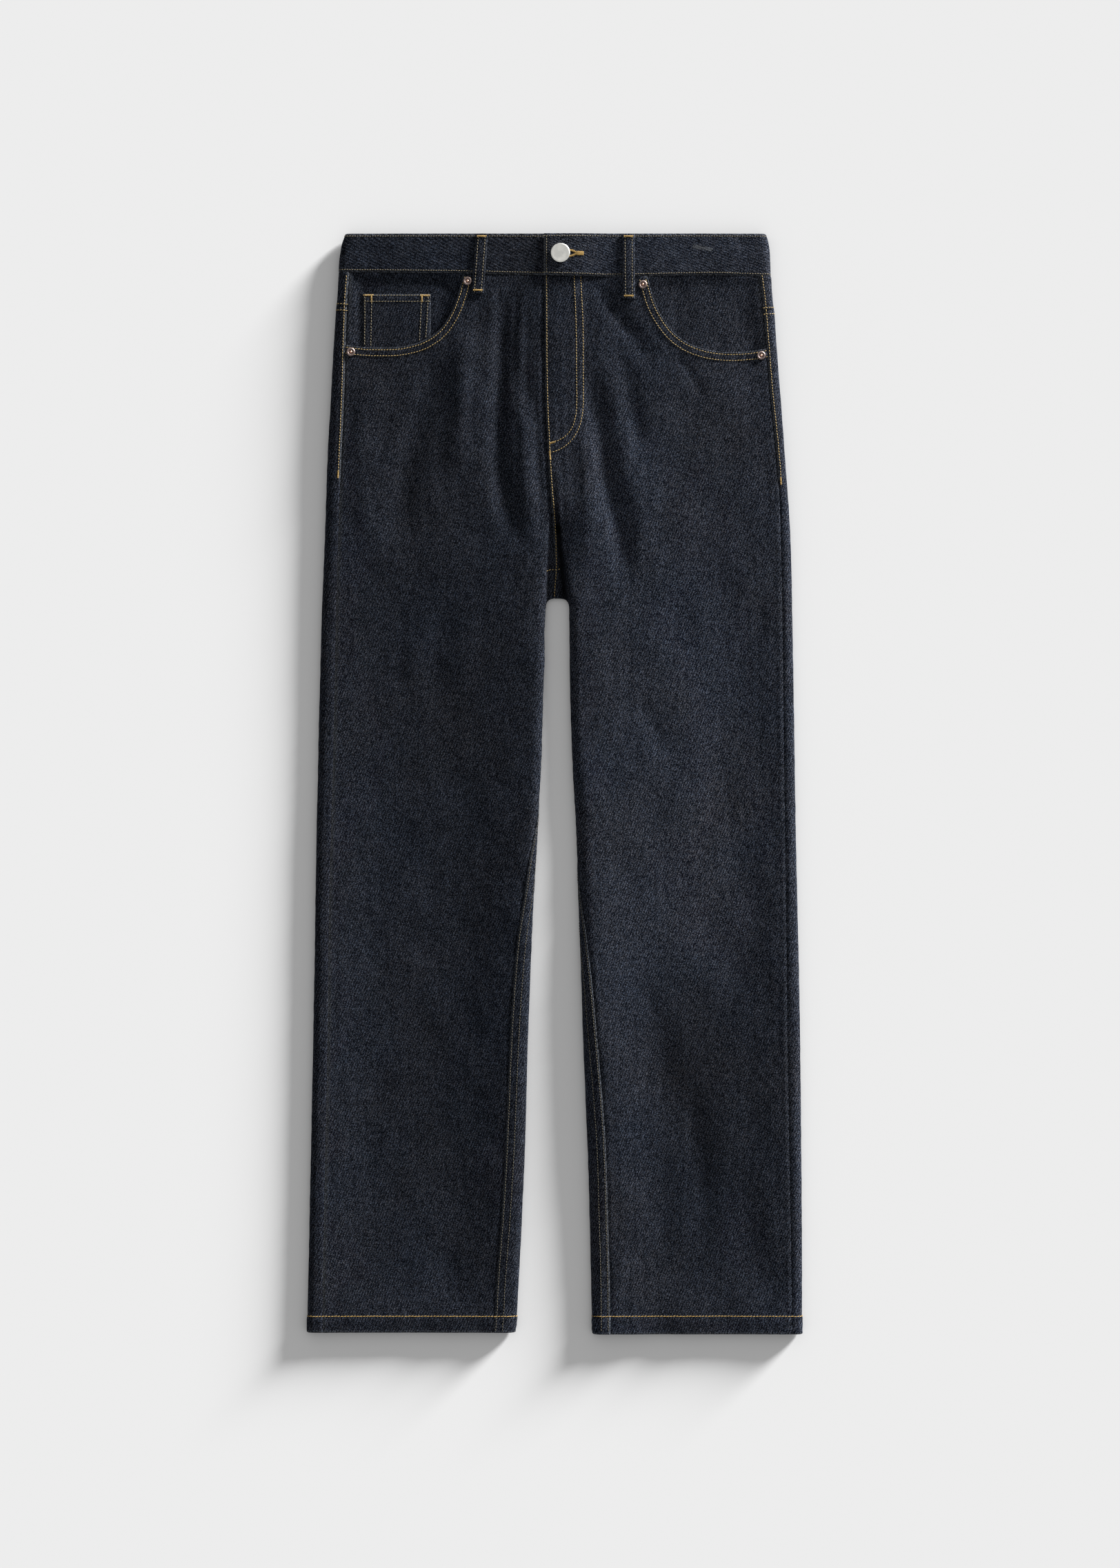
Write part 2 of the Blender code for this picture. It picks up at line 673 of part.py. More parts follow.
def pocket_facing(side):
    """Cloth behind the pocket mouth, on under the front panel's edge."""
    edge = mouth_edge(side)
    corner = Vector((SIGN[side] * FACING["corner_x"], FACING["corner_drop"], 0))
    inset = SIGN[side] * FACING["inset"]
    top_start = read(SIDE_SEAM, side, FACING["top_drop"]) - inset
    top_end = edge[-1].x - SIGN[side] * MOUTH_TUCK
    feet = [point + (point - corner).normalized() * MOUTH_TUCK for point in edge]
    feet[0] = Vector((read(SIDE_SEAM, side, FACING["foot_drop"]) - inset, edge[0].y + MOUTH_TUCK, 0))
    feet[-1] = Vector((top_end, band_drop(edge[-1].x) + FACING["foot"], 0))
    rows = []
    for t in FACING_ROWS:
        row = []
        for index, foot in enumerate(feet):
            top_x = top_start + (top_end - top_start) * index / MOUTH_COLUMNS
            flat = Vector((top_x, band_drop(top_x) + SEAM_GAP, 0)).lerp(foot, t)
            flat.y = max(flat.y, band_drop(flat.x) + SEAM_GAP)
            row.append(cloth(FRONT, flat.x, flat.y) - Vector((0, 0, FACING_DEPTH[side])))
        rows.append(row)
    return shell("pocket_facing_" + side, rows, CLOTH, flip=side == RIGHT)


def coin_pocket():
    """Small pocket on the right facing, its foot under the front panel."""
    rows = []
    for t in HALVES:
        row = []
        for step in range(COIN_COLUMNS + 1):
            x = COIN_POCKET["left"] + (COIN_POCKET["right"] - COIN_POCKET["left"]) * step / COIN_COLUMNS
            foot = linear(MOUTH[RIGHT], "drop", x, "x") + COIN_POCKET["tuck"]
            drop = COIN_POCKET["top"] + (foot - COIN_POCKET["top"]) * t
            row.append(cloth(FRONT, x, drop) - Vector((0, 0, LAP)))
        rows.append(row)
    return shell("coin_pocket", rows, CLOTH)


def back_pocket(side):
    """Five sided patch under the seat, flat on the surface below."""
    outline = [(POCKET_X - row["half"], row["height"]) for row in POCKET_SHAPE]
    outline += [(POCKET_X + row["half"], row["height"]) for row in reversed(POCKET_SHAPE)]
    bm = bmesh.new()
    corners = [bm.verts.new(world(Vector((SIGN[side] * x, POCKET_TOP + drop, LOOP_WALL))))
               for x, drop in outline]
    bm.faces.new(corners if side == LEFT else corners[::-1])
    mesh = bpy.data.meshes.new("back_pocket_" + side)
    bm.to_mesh(mesh)
    bm.free()
    piece = bpy.data.objects.new("back_pocket_" + side, mesh)
    wall = piece.modifiers.new("cloth wall", "SOLIDIFY")
    wall.thickness = LOOP_WALL * MM
    wall.offset = -1.0
    return finish(piece, "denim")


def belt_loop(row):
    """Flat strip over the waistband, sewn down at both ends."""
    rows = []
    low = row["length"]
    seam = band_drop(row["top_x"]) if row["layer"] == FRONT else under_band_drop(row["top_x"])
    for drop in (LOOP_TOP, LOOP_MIDDLE, seam + LOOP_STEP[0], seam + LOOP_STEP[1], low):
        middle = row["top_x"] + (row["low_x"] - row["top_x"]) * (drop - LOOP_TOP) / (low - LOOP_TOP)
        strip = []
        for across in (-0.5, 0.5):
            x = middle + across * LOOP_WIDTH
            if row["layer"] == BACK:
                strip.append(Vector((x, drop, LOOP_WALL / 2)))
                continue
            below = DOUBLE if drop < seam else CLOTH
            spare = SEAM_GAP + LOOP_SLACK * math.sin(math.pi * drop / low)
            height = top_height(x, drop) + below / 2 + spare + LOOP_WALL / 2
            strip.append(Vector((x, drop, height)))
        rows.append(strip)
    return shell(row["name"], rows, LOOP_WALL)


def turned(name, profile, place, colour):
    """A round fitting from its half profile, through a Screw modifier."""
    mesh = bpy.data.meshes.new(name)
    points = [(row["radius"] * MM, 0, row["height"] * MM) for row in profile]
    edges = [(i, i + 1) for i in range(len(points) - 1)]
    mesh.from_pydata(points, edges, [])
    piece = bpy.data.objects.new(name, mesh)
    screw = piece.modifiers.new("turning", "SCREW")
    screw.steps = screw.render_steps = ROUND_STEPS
    screw.use_merge_vertices = True
    screw.merge_threshold = 0.00001
    screw.use_normal_calculate = False
    piece.location = world(place)
    return finish(piece, colour)


def rivet(row):
    """Rivet cap with a raised centre, on the front panel's pocket corner."""
    place = cloth(FRONT, row["x"], row["drop"])
    slope = max(abs(top_height(row["x"] + RIVET_RADIUS, row["drop"]) - place.z),
                abs(top_height(row["x"], row["drop"] + RIVET_RADIUS) - place.z))
    place.z += CLOTH / 2 + SEAM_GAP + slope
    return turned(row["name"], RIVET_PROFILE, place, "copper")


def waist_button():
    """Shank button over the free end of the waistband."""
    place = cloth(FRONT, BUTTON["x"], BUTTON["drop"])
    place.z += BAND_LAP + DOUBLE / 2 + SEAM_GAP
    return turned("waist_button", BUTTON_PROFILE, place, "silver")


def make_material(name, colour, roughness, metallic):
    material = bpy.data.materials.new(name)
    material.use_nodes = True
    shader = material.node_tree.nodes["Principled BSDF"]
    shader.inputs["Base Color"].default_value = colour
    shader.inputs["Roughness"].default_value = roughness
    shader.inputs["Metallic"].default_value = metallic
    return material


for leftover in list(bpy.data.objects):
    bpy.data.objects.remove(leftover, do_unlink=True)
JEANS = bpy.data.collections.new("straight leg jeans")
bpy.context.scene.collection.children.link(JEANS)
MATERIALS = {row["name"]: make_material(**row) for row in COLOURS}

for wearer_side in (RIGHT, LEFT):
    front_panel(wearer_side)
    back_panel(wearer_side)
    back_yoke(wearer_side)
    pocket_facing(wearer_side)
    back_pocket(wearer_side)
coin_pocket()
waistband()
for loop in LOOPS:
    belt_loop(loop)
for cap in RIVETS:
    rivet(cap)
waist_button()
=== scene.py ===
import math

import bpy
import numpy as np
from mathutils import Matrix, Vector
from mathutils.bvhtree import BVHTree


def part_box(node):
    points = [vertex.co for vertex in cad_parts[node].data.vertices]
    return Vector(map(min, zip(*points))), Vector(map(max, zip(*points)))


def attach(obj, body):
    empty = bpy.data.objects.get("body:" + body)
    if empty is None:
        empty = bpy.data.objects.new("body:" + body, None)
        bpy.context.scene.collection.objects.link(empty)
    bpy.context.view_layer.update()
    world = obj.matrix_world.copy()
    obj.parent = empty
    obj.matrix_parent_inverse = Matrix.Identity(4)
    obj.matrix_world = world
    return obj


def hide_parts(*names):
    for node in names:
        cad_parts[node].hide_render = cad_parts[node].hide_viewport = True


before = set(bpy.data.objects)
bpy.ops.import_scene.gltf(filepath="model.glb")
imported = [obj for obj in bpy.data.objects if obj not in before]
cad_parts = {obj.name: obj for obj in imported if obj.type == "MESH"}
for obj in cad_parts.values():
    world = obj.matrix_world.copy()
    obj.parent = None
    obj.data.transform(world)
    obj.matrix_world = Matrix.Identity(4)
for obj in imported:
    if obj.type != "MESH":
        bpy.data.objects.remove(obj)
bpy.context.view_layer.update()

# Places below are (x, drop, height) in millimetres: x to the wearer's left, drop down from the waist edge.
mm = 0.001
right, left = "right", "left"  # the wearer's sides
sides = (right, left)
sign = {right: -1.0, left: 1.0}
front, back = "front", "back"


def table(names, *rows):
    return {name: np.array(column, float) for name, column in zip(names.split(), zip(*rows))}


def smooth(rows, name, at, key="drop"):
    # a smooth curve through one column of a table
    keys, values = rows[key], rows[name]
    lean = np.gradient(values)
    lean[1:-1] = (values[2:] - values[:-2]) / (keys[2:] - keys[:-2])
    lean[0] = (values[1] - values[0]) / (keys[1] - keys[0])
    lean[-1] = (values[-1] - values[-2]) / (keys[-1] - keys[-2])
    at = np.clip(at, keys[0], keys[-1])
    high = np.clip(np.searchsorted(keys, at), 1, len(keys) - 1)
    low = high - 1
    step = keys[high] - keys[low]
    t = (at - keys[low]) / step
    keep = (1 + 2 * t) * (1 - t) ** 2 * values[low] + (3 - 2 * t) * t * t * values[high]
    return keep + (t * (1 - t) ** 2 * lean[low] - t * t * (1 - t) * lean[high]) * step


def straight(rows, name, at, key="drop"):
    return np.interp(at, rows[key], rows[name])


def ease(t):
    t = np.clip(t, 0, 1)
    return t * t * (3 - 2 * t)


def after(value, start, width):
    # rises smoothly from 0 at the start to 1 a width beyond it
    return ease((value - start) / width)


def until(value, start, width):
    return 1 - after(value, start, width)


def bell(distance, half):
    return np.exp(-((distance / half) ** 2))


def humps(distance, *rows):
    # ridges and dents beside an edge, each a rise, a distance and a half width
    return sum(rise * bell(distance - place, half) for rise, place, half in rows)


def lapped(distance, rise, width, fade):
    # a raised strip along an edge
    return rise * until(distance, width, fade)


def rounded(distance, roll):
    return np.sqrt(1 - (1 - np.clip(distance / roll, 0, 1)) ** 2)


def softWaves(x, drop, size, stretch, seed):
    # gentle uneven ground from a few crossing waves, about -1 to 1
    pick = np.random.default_rng(seed)
    total = 0
    for _ in range(10):
        turn, phase = pick.uniform(0, 2 * math.pi, 2)
        rate = 2 * math.pi / (size * pick.uniform(0.6, 1.7))
        total = total + np.sin(rate * (x * math.cos(turn) * stretch + drop * math.sin(turn)) + phase)
    return total / 3.2


def seamWaves(along, size, seed):
    # the uneven swell of a seam along its length
    phase = np.random.default_rng(seed).uniform(0, 6.28, 3)
    wave = np.sin(2 * math.pi * along / size + 1.3 * np.sin(along / (size * 2.7) + phase[0]) + phase[1])
    return wave * (0.65 + 0.35 * np.sin(along / (size * 4.3) + phase[2]))


def puckers(along, distance, seed, rise, size, place, half):
    return rise * seamWaves(along, size, seed) * bell(distance - place, half)


# ---- the laid form ----
form = {
    "length": 1082.8,  # waist edge to the lowest hem edge
    "wall": 1.1,
    "double": 2.2,  # waistband and turned hems
    "gap": 0.8,  # least room between the layers
    "fold": 0.6,  # folded edges lie this far inside the outline
    "lap": 1.5,
    "tip": 2.6,  # height of a folded edge's tip above the lower layer
    "rest": 0.05,  # nothing lies closer to the floor than this
    "lowerRoll": 4.0,
    "forkX": -0.2,
    "gapTop": 358.0,
    "gapRound": 12.0,
    "gapCorner": 0.66,  # below 1 the top of the gap is flatter, with tighter corners
    "fanFrom": 322.0,  # rows fan out from here to the top of the gap
    "fanTip": 351.0,
    "fanReach": 34.0,
    "fanPower": 1.7,
    "archReach": 45.0,
    "outerShare": 0.32,  # how far in from the outer fold the cloth's height changes
    "innerShare": 0.38,
    "creaseEnd": 0.25,
    "hemPly": 1059.0,
    "halfWaist": 208.0,
    "edgeBulge": 0.3,
}
archEnd = form["gapTop"] + form["gapRound"]
outerFolds = table(
    "drop right left",
    (0, -206.7, 208.8), (12, -210.0, 211.5), (38, -212.8, 213.5), (66, -214.7, 215.4), (78, -216.0, 217.2),
    (108, -217.6, 219.0), (217, -223.7, 227.1), (298, -226.4, 232.6), (380, -229.8, 234.6),
    (584, -234.6, 238.0), (788, -238.0, 242.2), (992, -242.1, 244.0), (1083, -244.1, 244.1),
)
innerFolds = table(
    "drop right left",
    (358, -8.2, 14.3), (380, -8.8, 14.3), (448, -10.9, 15.0), (516, -12.9, 17.7), (652, -20.4, 23.8),
    (788, -25.8, 27.9), (924, -29.9, 33.3), (1060, -36.7, 36.7), (1083, -38.8, 37.4),
)
upperTable = table(
    "drop rightOut rightMid rightIn leftIn leftMid leftOut",
    (0, 10.0, 11.0, 11.0, 11.0, 11.0, 10.0), (60, 11.2, 11.8, 10.8, 10.8, 11.6, 10.6),
    (150, 11.0, 11.6, 9.6, 9.6, 11.6, 10.6), (260, 10.2, 10.6, 9.8, 9.8, 11.0, 10.2),
    (330, 9.8, 9.0, 10.0, 10.5, 9.8, 9.8), (400, 9.4, 7.0, 10.5, 11.0, 8.0, 9.4),
    (500, 9.0, 4.8, 9.8, 10.8, 6.0, 9.2), (620, 9.4, 3.6, 9.9, 11.5, 5.0, 9.4),
    (760, 9.4, 3.2, 9.9, 14.0, 4.6, 9.4), (870, 9.4, 3.2, 9.9, 15.0, 5.0, 9.4),
    (960, 9.4, 3.2, 9.9, 12.5, 4.6, 9.4), (1020, 9.5, 4.4, 9.9, 11.0, 5.2, 9.5),
    (1062, 9.5, 8.0, 9.8, 10.4, 8.0, 9.6), (1083, 9.5, 8.4, 9.8, 10.4, 8.4, 9.6),
)
rollTable = table(
    "drop rightOut rightIn leftIn leftOut",
    (0, 6, 8, 8, 6), (358, 7, 8, 9, 7), (500, 7, 9, 11, 7), (760, 7, 9, 17, 7),
    (870, 7, 9, 22, 7), (1000, 7, 9, 13, 7), (1083, 7, 9, 9, 7),
)
underTable = table("drop height", (0, 2.5), (310, 2.5), (360, 1.25), (1061, 1.25), (1067, 1.7), (1083, 1.7))
sideSeams = table(
    "drop right left",
    (36, -202.0, 201.4), (64, -204.2, 205.0), (115, -206.1, 209.2), (148, -206.8, 211.8),
    (240, -210.8, 220.5), (353, -214.6, 224.0), (516, -218.0, 226.0), (655, -222.0, 228.0),
    (788, -223.6, 229.4), (997, -227.6, 233.0), (1083, -228.5, 234.0),
)
frontRise = table(
    "drop middle",
    (0, -9.9), (40, -9.5), (149, -8.8), (207, -6.5), (244, -4.4), (281, -1.3), (311, 0.2),
    (331, 0.9), (345, 0.2), (358, -0.2),
)
inseams = table(  # round the inner fold: above it on the front, below it behind
    "drop right left",
    (358, 0.0, 0.0), (370, -1.6, -1.6), (386, -5.0, -5.0), (410, -7.0, -7.0), (500, -7.0, -7.0),
    (530, -5.0, -7.0), (555, -1.5, -7.0), (575, 2.0, -6.0), (595, 5.5, -4.0), (617, 8.6, -1.0),
    (645, 10.9, 3.5), (695, 16.3, 10.0), (762, 19.2, 16.0), (877, 21.0, 21.2), (957, 22.2, 20.8),
    (1037, 24.0, 20.6), (1083, 23.0, 19.4),
)
bandSeam = table("x drop", (-215, 37.2), (-100, 38.4), (-10, 40.3), (52, 42.0), (160, 40.2), (215, 41.8))
yokeSeam = table("x drop", (-225, 69.7), (-105, 84.0), (0, 98.0), (105, 86.0), (225, 73.7))
mouths = {
    right: ((-206.4, 109.4), (-190, 111.6), (-172, 112.3), (-152.7, 111.7), (-134.6, 107.7),
            (-122, 101.6), (-111.5, 92.6), (-102.6, 79.2), (-95.8, 62.6), (-89.4, 38.9)),
    left: ((209.6, 112.8), (196, 115.4), (178, 116.8), (159.8, 116.1), (144.2, 112.8),
           (129.6, 106.8), (116.6, 96.6), (106.2, 82.8), (98.6, 67.8), (91.0, 41.4)),
}
flyCurve = ((25.8, 36.0), (27.0, 60.0), (27.9, 87.4), (28.2, 130.0), (27.9, 172.4), (24.3, 189.9),
            (16.5, 203.2), (5.6, 211.8), (-4.4, 215.0))

# Folds and hollows laid one by one: rise of the cloth, half width, and the line (x, drop) each follows.
creases = [
    (-4.4, 9.0, ((-47, 44), (-52, 111), (-56, 203), (-50, 257), (-36, 312))),
    (-3.0, 13.0, ((-110, 112), (-132, 183), (-145, 230), (-157, 315))),
    (-4.8, 11.0, ((34, 130), (44, 175), (53, 240), (68, 310), (60, 362))),
    (-1.9, 10.0, ((44, 48), (70, 90), (98, 132))),
    (-1.5, 9.0, ((58, 94), (72, 150), (87, 220))),
    (-1.5, 6.0, ((-22, 140), (-20, 200), (-14, 270))),
    (-3.4, 14.0, ((2, 262), (2, 330), (3, 380))),
    (-1.1, 4.5, ((-26, 70), (-27, 130), (-29, 200))),
    (-0.9, 4.0, ((-37, 48), (-39, 100), (-42, 150))),
    (1.0, 4.5, ((-61, 46), (-62, 100), (-66, 150))),
    (-0.8, 5.0, ((-74, 60), (-80, 120), (-84, 200))),
    (-1.0, 5.0, ((40, 46), (56, 74), (82, 108))),
    (-0.9, 6.0, ((118, 118), (133, 136), (150, 170))),
    (-1.1, 8.0, ((-140, 402), (-152, 420), (-150, 450))),
    (-0.9, 9.0, ((84, 452), (98, 486), (113, 520))),
    (-1.3, 13.0, ((-128, 720), (-122, 800), (-118, 900))),
    (-0.9, 13.0, ((-110, 350), (-112, 450), (-106, 560))),
    (-1.0, 11.0, ((70, 700), (78, 735), (104, 775))),
    (1.0, 12.0, ((-186, 128), (-188, 220), (-184, 320))),
    (3.0, 10.0, ((-28, 150), (-27, 240), (-20, 320))),
    (1.8, 9.0, ((30, 190), (34, 290), (28, 340))),
    (3.0, 12.0, ((-84, 80), (-90, 145), (-98, 240))),
    (-1.6, 12.0, ((128, 820), (142, 900), (146, 1010))),
]


def smoothLine(points, count):
    points = np.array(points, float)
    run = np.concatenate([[0], np.cumsum(np.linalg.norm(np.diff(points, axis=0), axis=1))])
    rows = {"at": run}
    for axis in range(points.shape[1]):
        rows[str(axis)] = points[:, axis]
    at = np.linspace(0, run[-1], count)
    return np.stack([smooth(rows, str(axis), at, "at") for axis in range(points.shape[1])], axis=1)


def lineReach(x, drop, line):
    # distance from a line, and how far along it from 0 to 1
    start, run = line[:-1], np.diff(line, axis=0)
    x, drop = np.broadcast_arrays(np.asarray(x, float), np.asarray(drop, float))
    acrossGap, downGap = x[..., None] - start[:, 0], drop[..., None] - start[:, 1]
    t = np.clip((acrossGap * run[:, 0] + downGap * run[:, 1]) / (run ** 2).sum(axis=1), 0, 1)
    gap = (acrossGap - run[:, 0] * t) ** 2 + (downGap - run[:, 1] * t) ** 2
    nearest = gap.argmin(axis=-1)[..., None]
    where = (nearest + np.take_along_axis(t, nearest, -1))[..., 0] / len(start)
    return np.sqrt(np.take_along_axis(gap, nearest, -1)[..., 0]), where


creaseLines = [(rise, half, smoothLine(line, 12)) for rise, half, line in creases]
# The crotch seam lies in a channel between the two thighs, its walls at these places.
channel = table(
    "drop right left",
    (258, -3.0, -1.0), (285, -5.0, 2.6), (300, -6.5, 4.6), (317, -7.6, 7.6), (342, -8.6, 11.6),
    (360, -9.0, 13.6),
)
channelLook = {"depth": 5.6, "from": 262.0, "fade": 40.0, "rightWall": 4.0, "leftWall": 2.4}


def outerFold(side, drop):
    return smooth(outerFolds, side, drop) - sign[side] * form["fold"]


def innerFold(side, drop):
    low = smooth(innerFolds, right, drop) - form["fold"]
    high = smooth(innerFolds, left, drop) + form["fold"]
    t = np.clip((drop - form["gapTop"]) / form["gapRound"], 0, 1)
    half = (high - low) / 2 * (1 - (1 - t) ** (2 / form["gapCorner"])) ** (form["gapCorner"] / 2)
    return (low + high) / 2 + sign[side] * half


archMiddle = float(innerFold(right, archEnd) + innerFold(left, archEnd)) / 2
archHalf = float(innerFold(left, archEnd) - innerFold(right, archEnd)) / 2


def archAt(turn):
    corner = form["gapCorner"]
    across = np.sign(turn) * np.abs(np.sin(turn)) ** corner
    return archMiddle + archHalf * across, archEnd - form["gapRound"] * np.abs(np.cos(turn)) ** corner


archLine = np.stack(archAt(np.linspace(-math.pi / 2, math.pi / 2, 41)), axis=1)


def gapDistance(x, drop):
    beside = np.maximum(innerFold(right, drop) - x, x - innerFold(left, drop))
    above = np.full(np.shape(x), 99.0)
    reach = form["archReach"]
    near = (drop <= archEnd) & (drop > archEnd - reach) & (np.abs(x) < reach)
    if near.any():
        above[near] = lineReach(x[near], drop[near], archLine)[0]
    return np.where(drop > archEnd, beside, above)


def lowerHeight(x, drop):
    # middle of the lower layer, flat but for its rolled edges
    under = straight(underTable, "height", drop)
    edge = np.minimum(x - outerFold(right, drop), outerFold(left, drop) - x)
    sink = rounded(edge, form["lowerRoll"]) * rounded(gapDistance(x, drop), form["lowerRoll"])
    return under + form["tip"] * (1 - sink)


def topHeight(x, drop):
    riseX = smooth(frontRise, "middle", drop)
    heights = {}
    for side in sides:
        inner = np.where(drop < form["gapTop"], riseX, innerFold(side, drop))
        outer = outerFold(side, drop)
        across = np.clip((x - outer) / (inner - outer), 0, 1)
        middle = smooth(upperTable, side + "Mid", drop)
        heights[side] = middle
        for place, reach, share in (("Out", across, "outerShare"), ("In", 1 - across, "innerShare")):
            rise = smooth(upperTable, side + place, drop) - middle
            heights[side] = heights[side] + rise * (1 - ease(reach / form[share]))
    height = np.where(x < riseX, heights[right], heights[left])
    for lift, half, line in creaseLines:
        distance, where = lineReach(x, drop, line)
        ends = ease(where / form["creaseEnd"]) * ease((1 - where) / form["creaseEnd"])
        height = height + lift * ends * bell(distance, half)
    within = ease((x - straight(channel, right, drop)) / channelLook["rightWall"] + 0.5)
    within = within * ease((straight(channel, left, drop) - x) / channelLook["leftWall"] + 0.5)
    height = height - channelLook["depth"] * within * after(drop, channelLook["from"], channelLook["fade"])
    ply = np.where(drop > form["hemPly"], form["double"], form["wall"])
    floor = straight(underTable, "height", drop) + ply + form["gap"]
    spare = height - floor
    return floor + (spare + np.sqrt(spare * spare + 1)) / 2


def upperHeight(x, drop):
    # middle of the upper layer, rolled down to the folds
    tip = straight(underTable, "height", drop) + form["tip"]
    lift = rounded(x - outerFold(right, drop), smooth(rollTable, "rightOut", drop))
    lift = lift * rounded(outerFold(left, drop) - x, smooth(rollTable, "leftOut", drop))
    roll = np.where(x < archMiddle, smooth(rollTable, "rightIn", drop), smooth(rollTable, "leftIn", drop))
    lift = lift * rounded(gapDistance(x, drop), roll)
    return tip + (topHeight(x, drop) - tip) * lift


layerHeight = {front: upperHeight, back: lowerHeight}


def bandDrop(x):
    return straight(bandSeam, "drop", x, "x")


def underBandDrop(x):
    return np.interp(x, bandSeam["x"][[0, -1]], bandSeam["drop"][[0, -1]])


def yokeDrop(x):
    return straight(yokeSeam, "drop", x, "x")


# ---- cloth as thin closed shells ----
def lengthsOf(points):
    return np.concatenate([[0], np.cumsum(np.linalg.norm(np.diff(points, axis=0), axis=1))])


def pointsAt(points, places):
    run = lengthsOf(points)
    return np.stack([np.interp(places, run, points[:, axis]) for axis in range(points.shape[1])], axis=1)


def evenPoints(points, count):
    return pointsAt(points, np.linspace(0, lengthsOf(points)[-1], count))


def cutOff(line, end):
    # the first stretch of a line, up to a length
    return np.concatenate([line[lengthsOf(line) < end - 0.01], pointsAt(line, [end])])


def unit(vectors):
    return vectors / np.maximum(np.linalg.norm(vectors, axis=-1, keepdims=True), 1e-9)


def toWorld(points):
    return np.stack([points[..., 0], form["length"] / 2 - points[..., 1], points[..., 2]], axis=-1) * mm


def gridNormals(grid, outward):
    return unit(np.cross(unit(np.gradient(grid, axis=1)), unit(np.gradient(grid, axis=0)))) * outward


def placed(name, data):
    thing = bpy.data.objects.new(name, data)
    bpy.context.scene.collection.objects.link(thing)
    return thing


# Broad painted light and shade: strength, half width, and the line each follows. Dark entries are painted shade
# in creases, troughs and the channel at the crotch seam; pale ones are painted highlights on the lit thigh and
# on ridges.
paintedLightAndShade = [
    # painted light: the wearer's left thigh is painted brighter where the key light falls on it
    (0.36, 52.0, ((70, 210), (115, 330), (135, 560), (130, 690))),
    (0.20, 22.0, ((150, 130), (182, 155))),
    (0.16, 40.0, ((150, 420), (190, 640))),
    (-0.08, 34.0, ((-110, 350), (-110, 560))),
    (-0.08, 26.0, ((-88, 611), (-88, 720))),
    (0.10, 26.0, ((-186, 128), (-186, 320))),
    # painted shade: soft fold shadows on the lower legs
    (-0.27, 60.0, ((140, 810), (140, 1060))),
    (-0.18, 24.0, ((96, 735), (140, 830), (164, 930))),
    (-0.24, 11.0, ((40, 770), (54, 860), (58, 940), (56, 1030))),
    (-0.12, 34.0, ((-120, 790), (-120, 880))),
    (0.1, 12.0, ((-40, 128), (-32, 240), (-24, 298))),
    # painted shade and highlights on the waistband's puckers and where its free end overlaps
    (-0.16, 14.0, ((-16, 8), (-28, 34))),
    (-0.1, 20.0, ((-206, 18), (-60, 20))),
    (-0.1, 7.0, ((-168, 6), (-150, 30))),
    (0.09, 6.0, ((-130, 8), (-112, 30))),
    (0.1, 7.0, ((112, 6), (128, 32))),
    (-0.12, 7.0, ((140, 8), (160, 34))),
    (0.08, 8.0, ((176, 8), (190, 32))),
    (-0.1, 6.0, ((40, 8), (56, 34))),
    (0.16, 3.2, ((7, 56), (9, 110), (8, 180))),
    (0.12, 14.0, ((-84, 77), (-90, 150))),
    # painted shadow: these darken the channel at the crotch seam, shaded by the thighs
    (-0.6, 2.6, ((1.2, 236), (2.2, 264), (3.6, 290))),
    (-0.85, 4.6, ((4.0, 290), (6.5, 317), (9.0, 342), (10.0, 356))),
    (-0.5, 2.0, ((-5.5, 300), (-6.2, 330), (-6.5, 356))),
]
paintedLightAndShadeLines = [(strength, half, smoothLine(line, 8)) for strength, half, line in paintedLightAndShade]
paintedSideLight = {"right": 0.76, "more": 0.28, "from": -30.0, "over": 60.0}  # painted light: the wearer's left half is painted paler, standing in for the key light falling more on that side


# painted light and shade as one tone per point: the side-to-side painted light plus the painted shade and
# highlights listed above
def fadeAt(grid):
    x, drop = grid[..., 0], grid[..., 1]
    tone = paintedSideLight["right"] + paintedSideLight["more"] * after(x, paintedSideLight["from"], paintedSideLight["over"])
    for strength, half, line in paintedLightAndShadeLines:
        tone = tone + strength * bell(lineReach(x, drop, line)[0], half)
    return tone


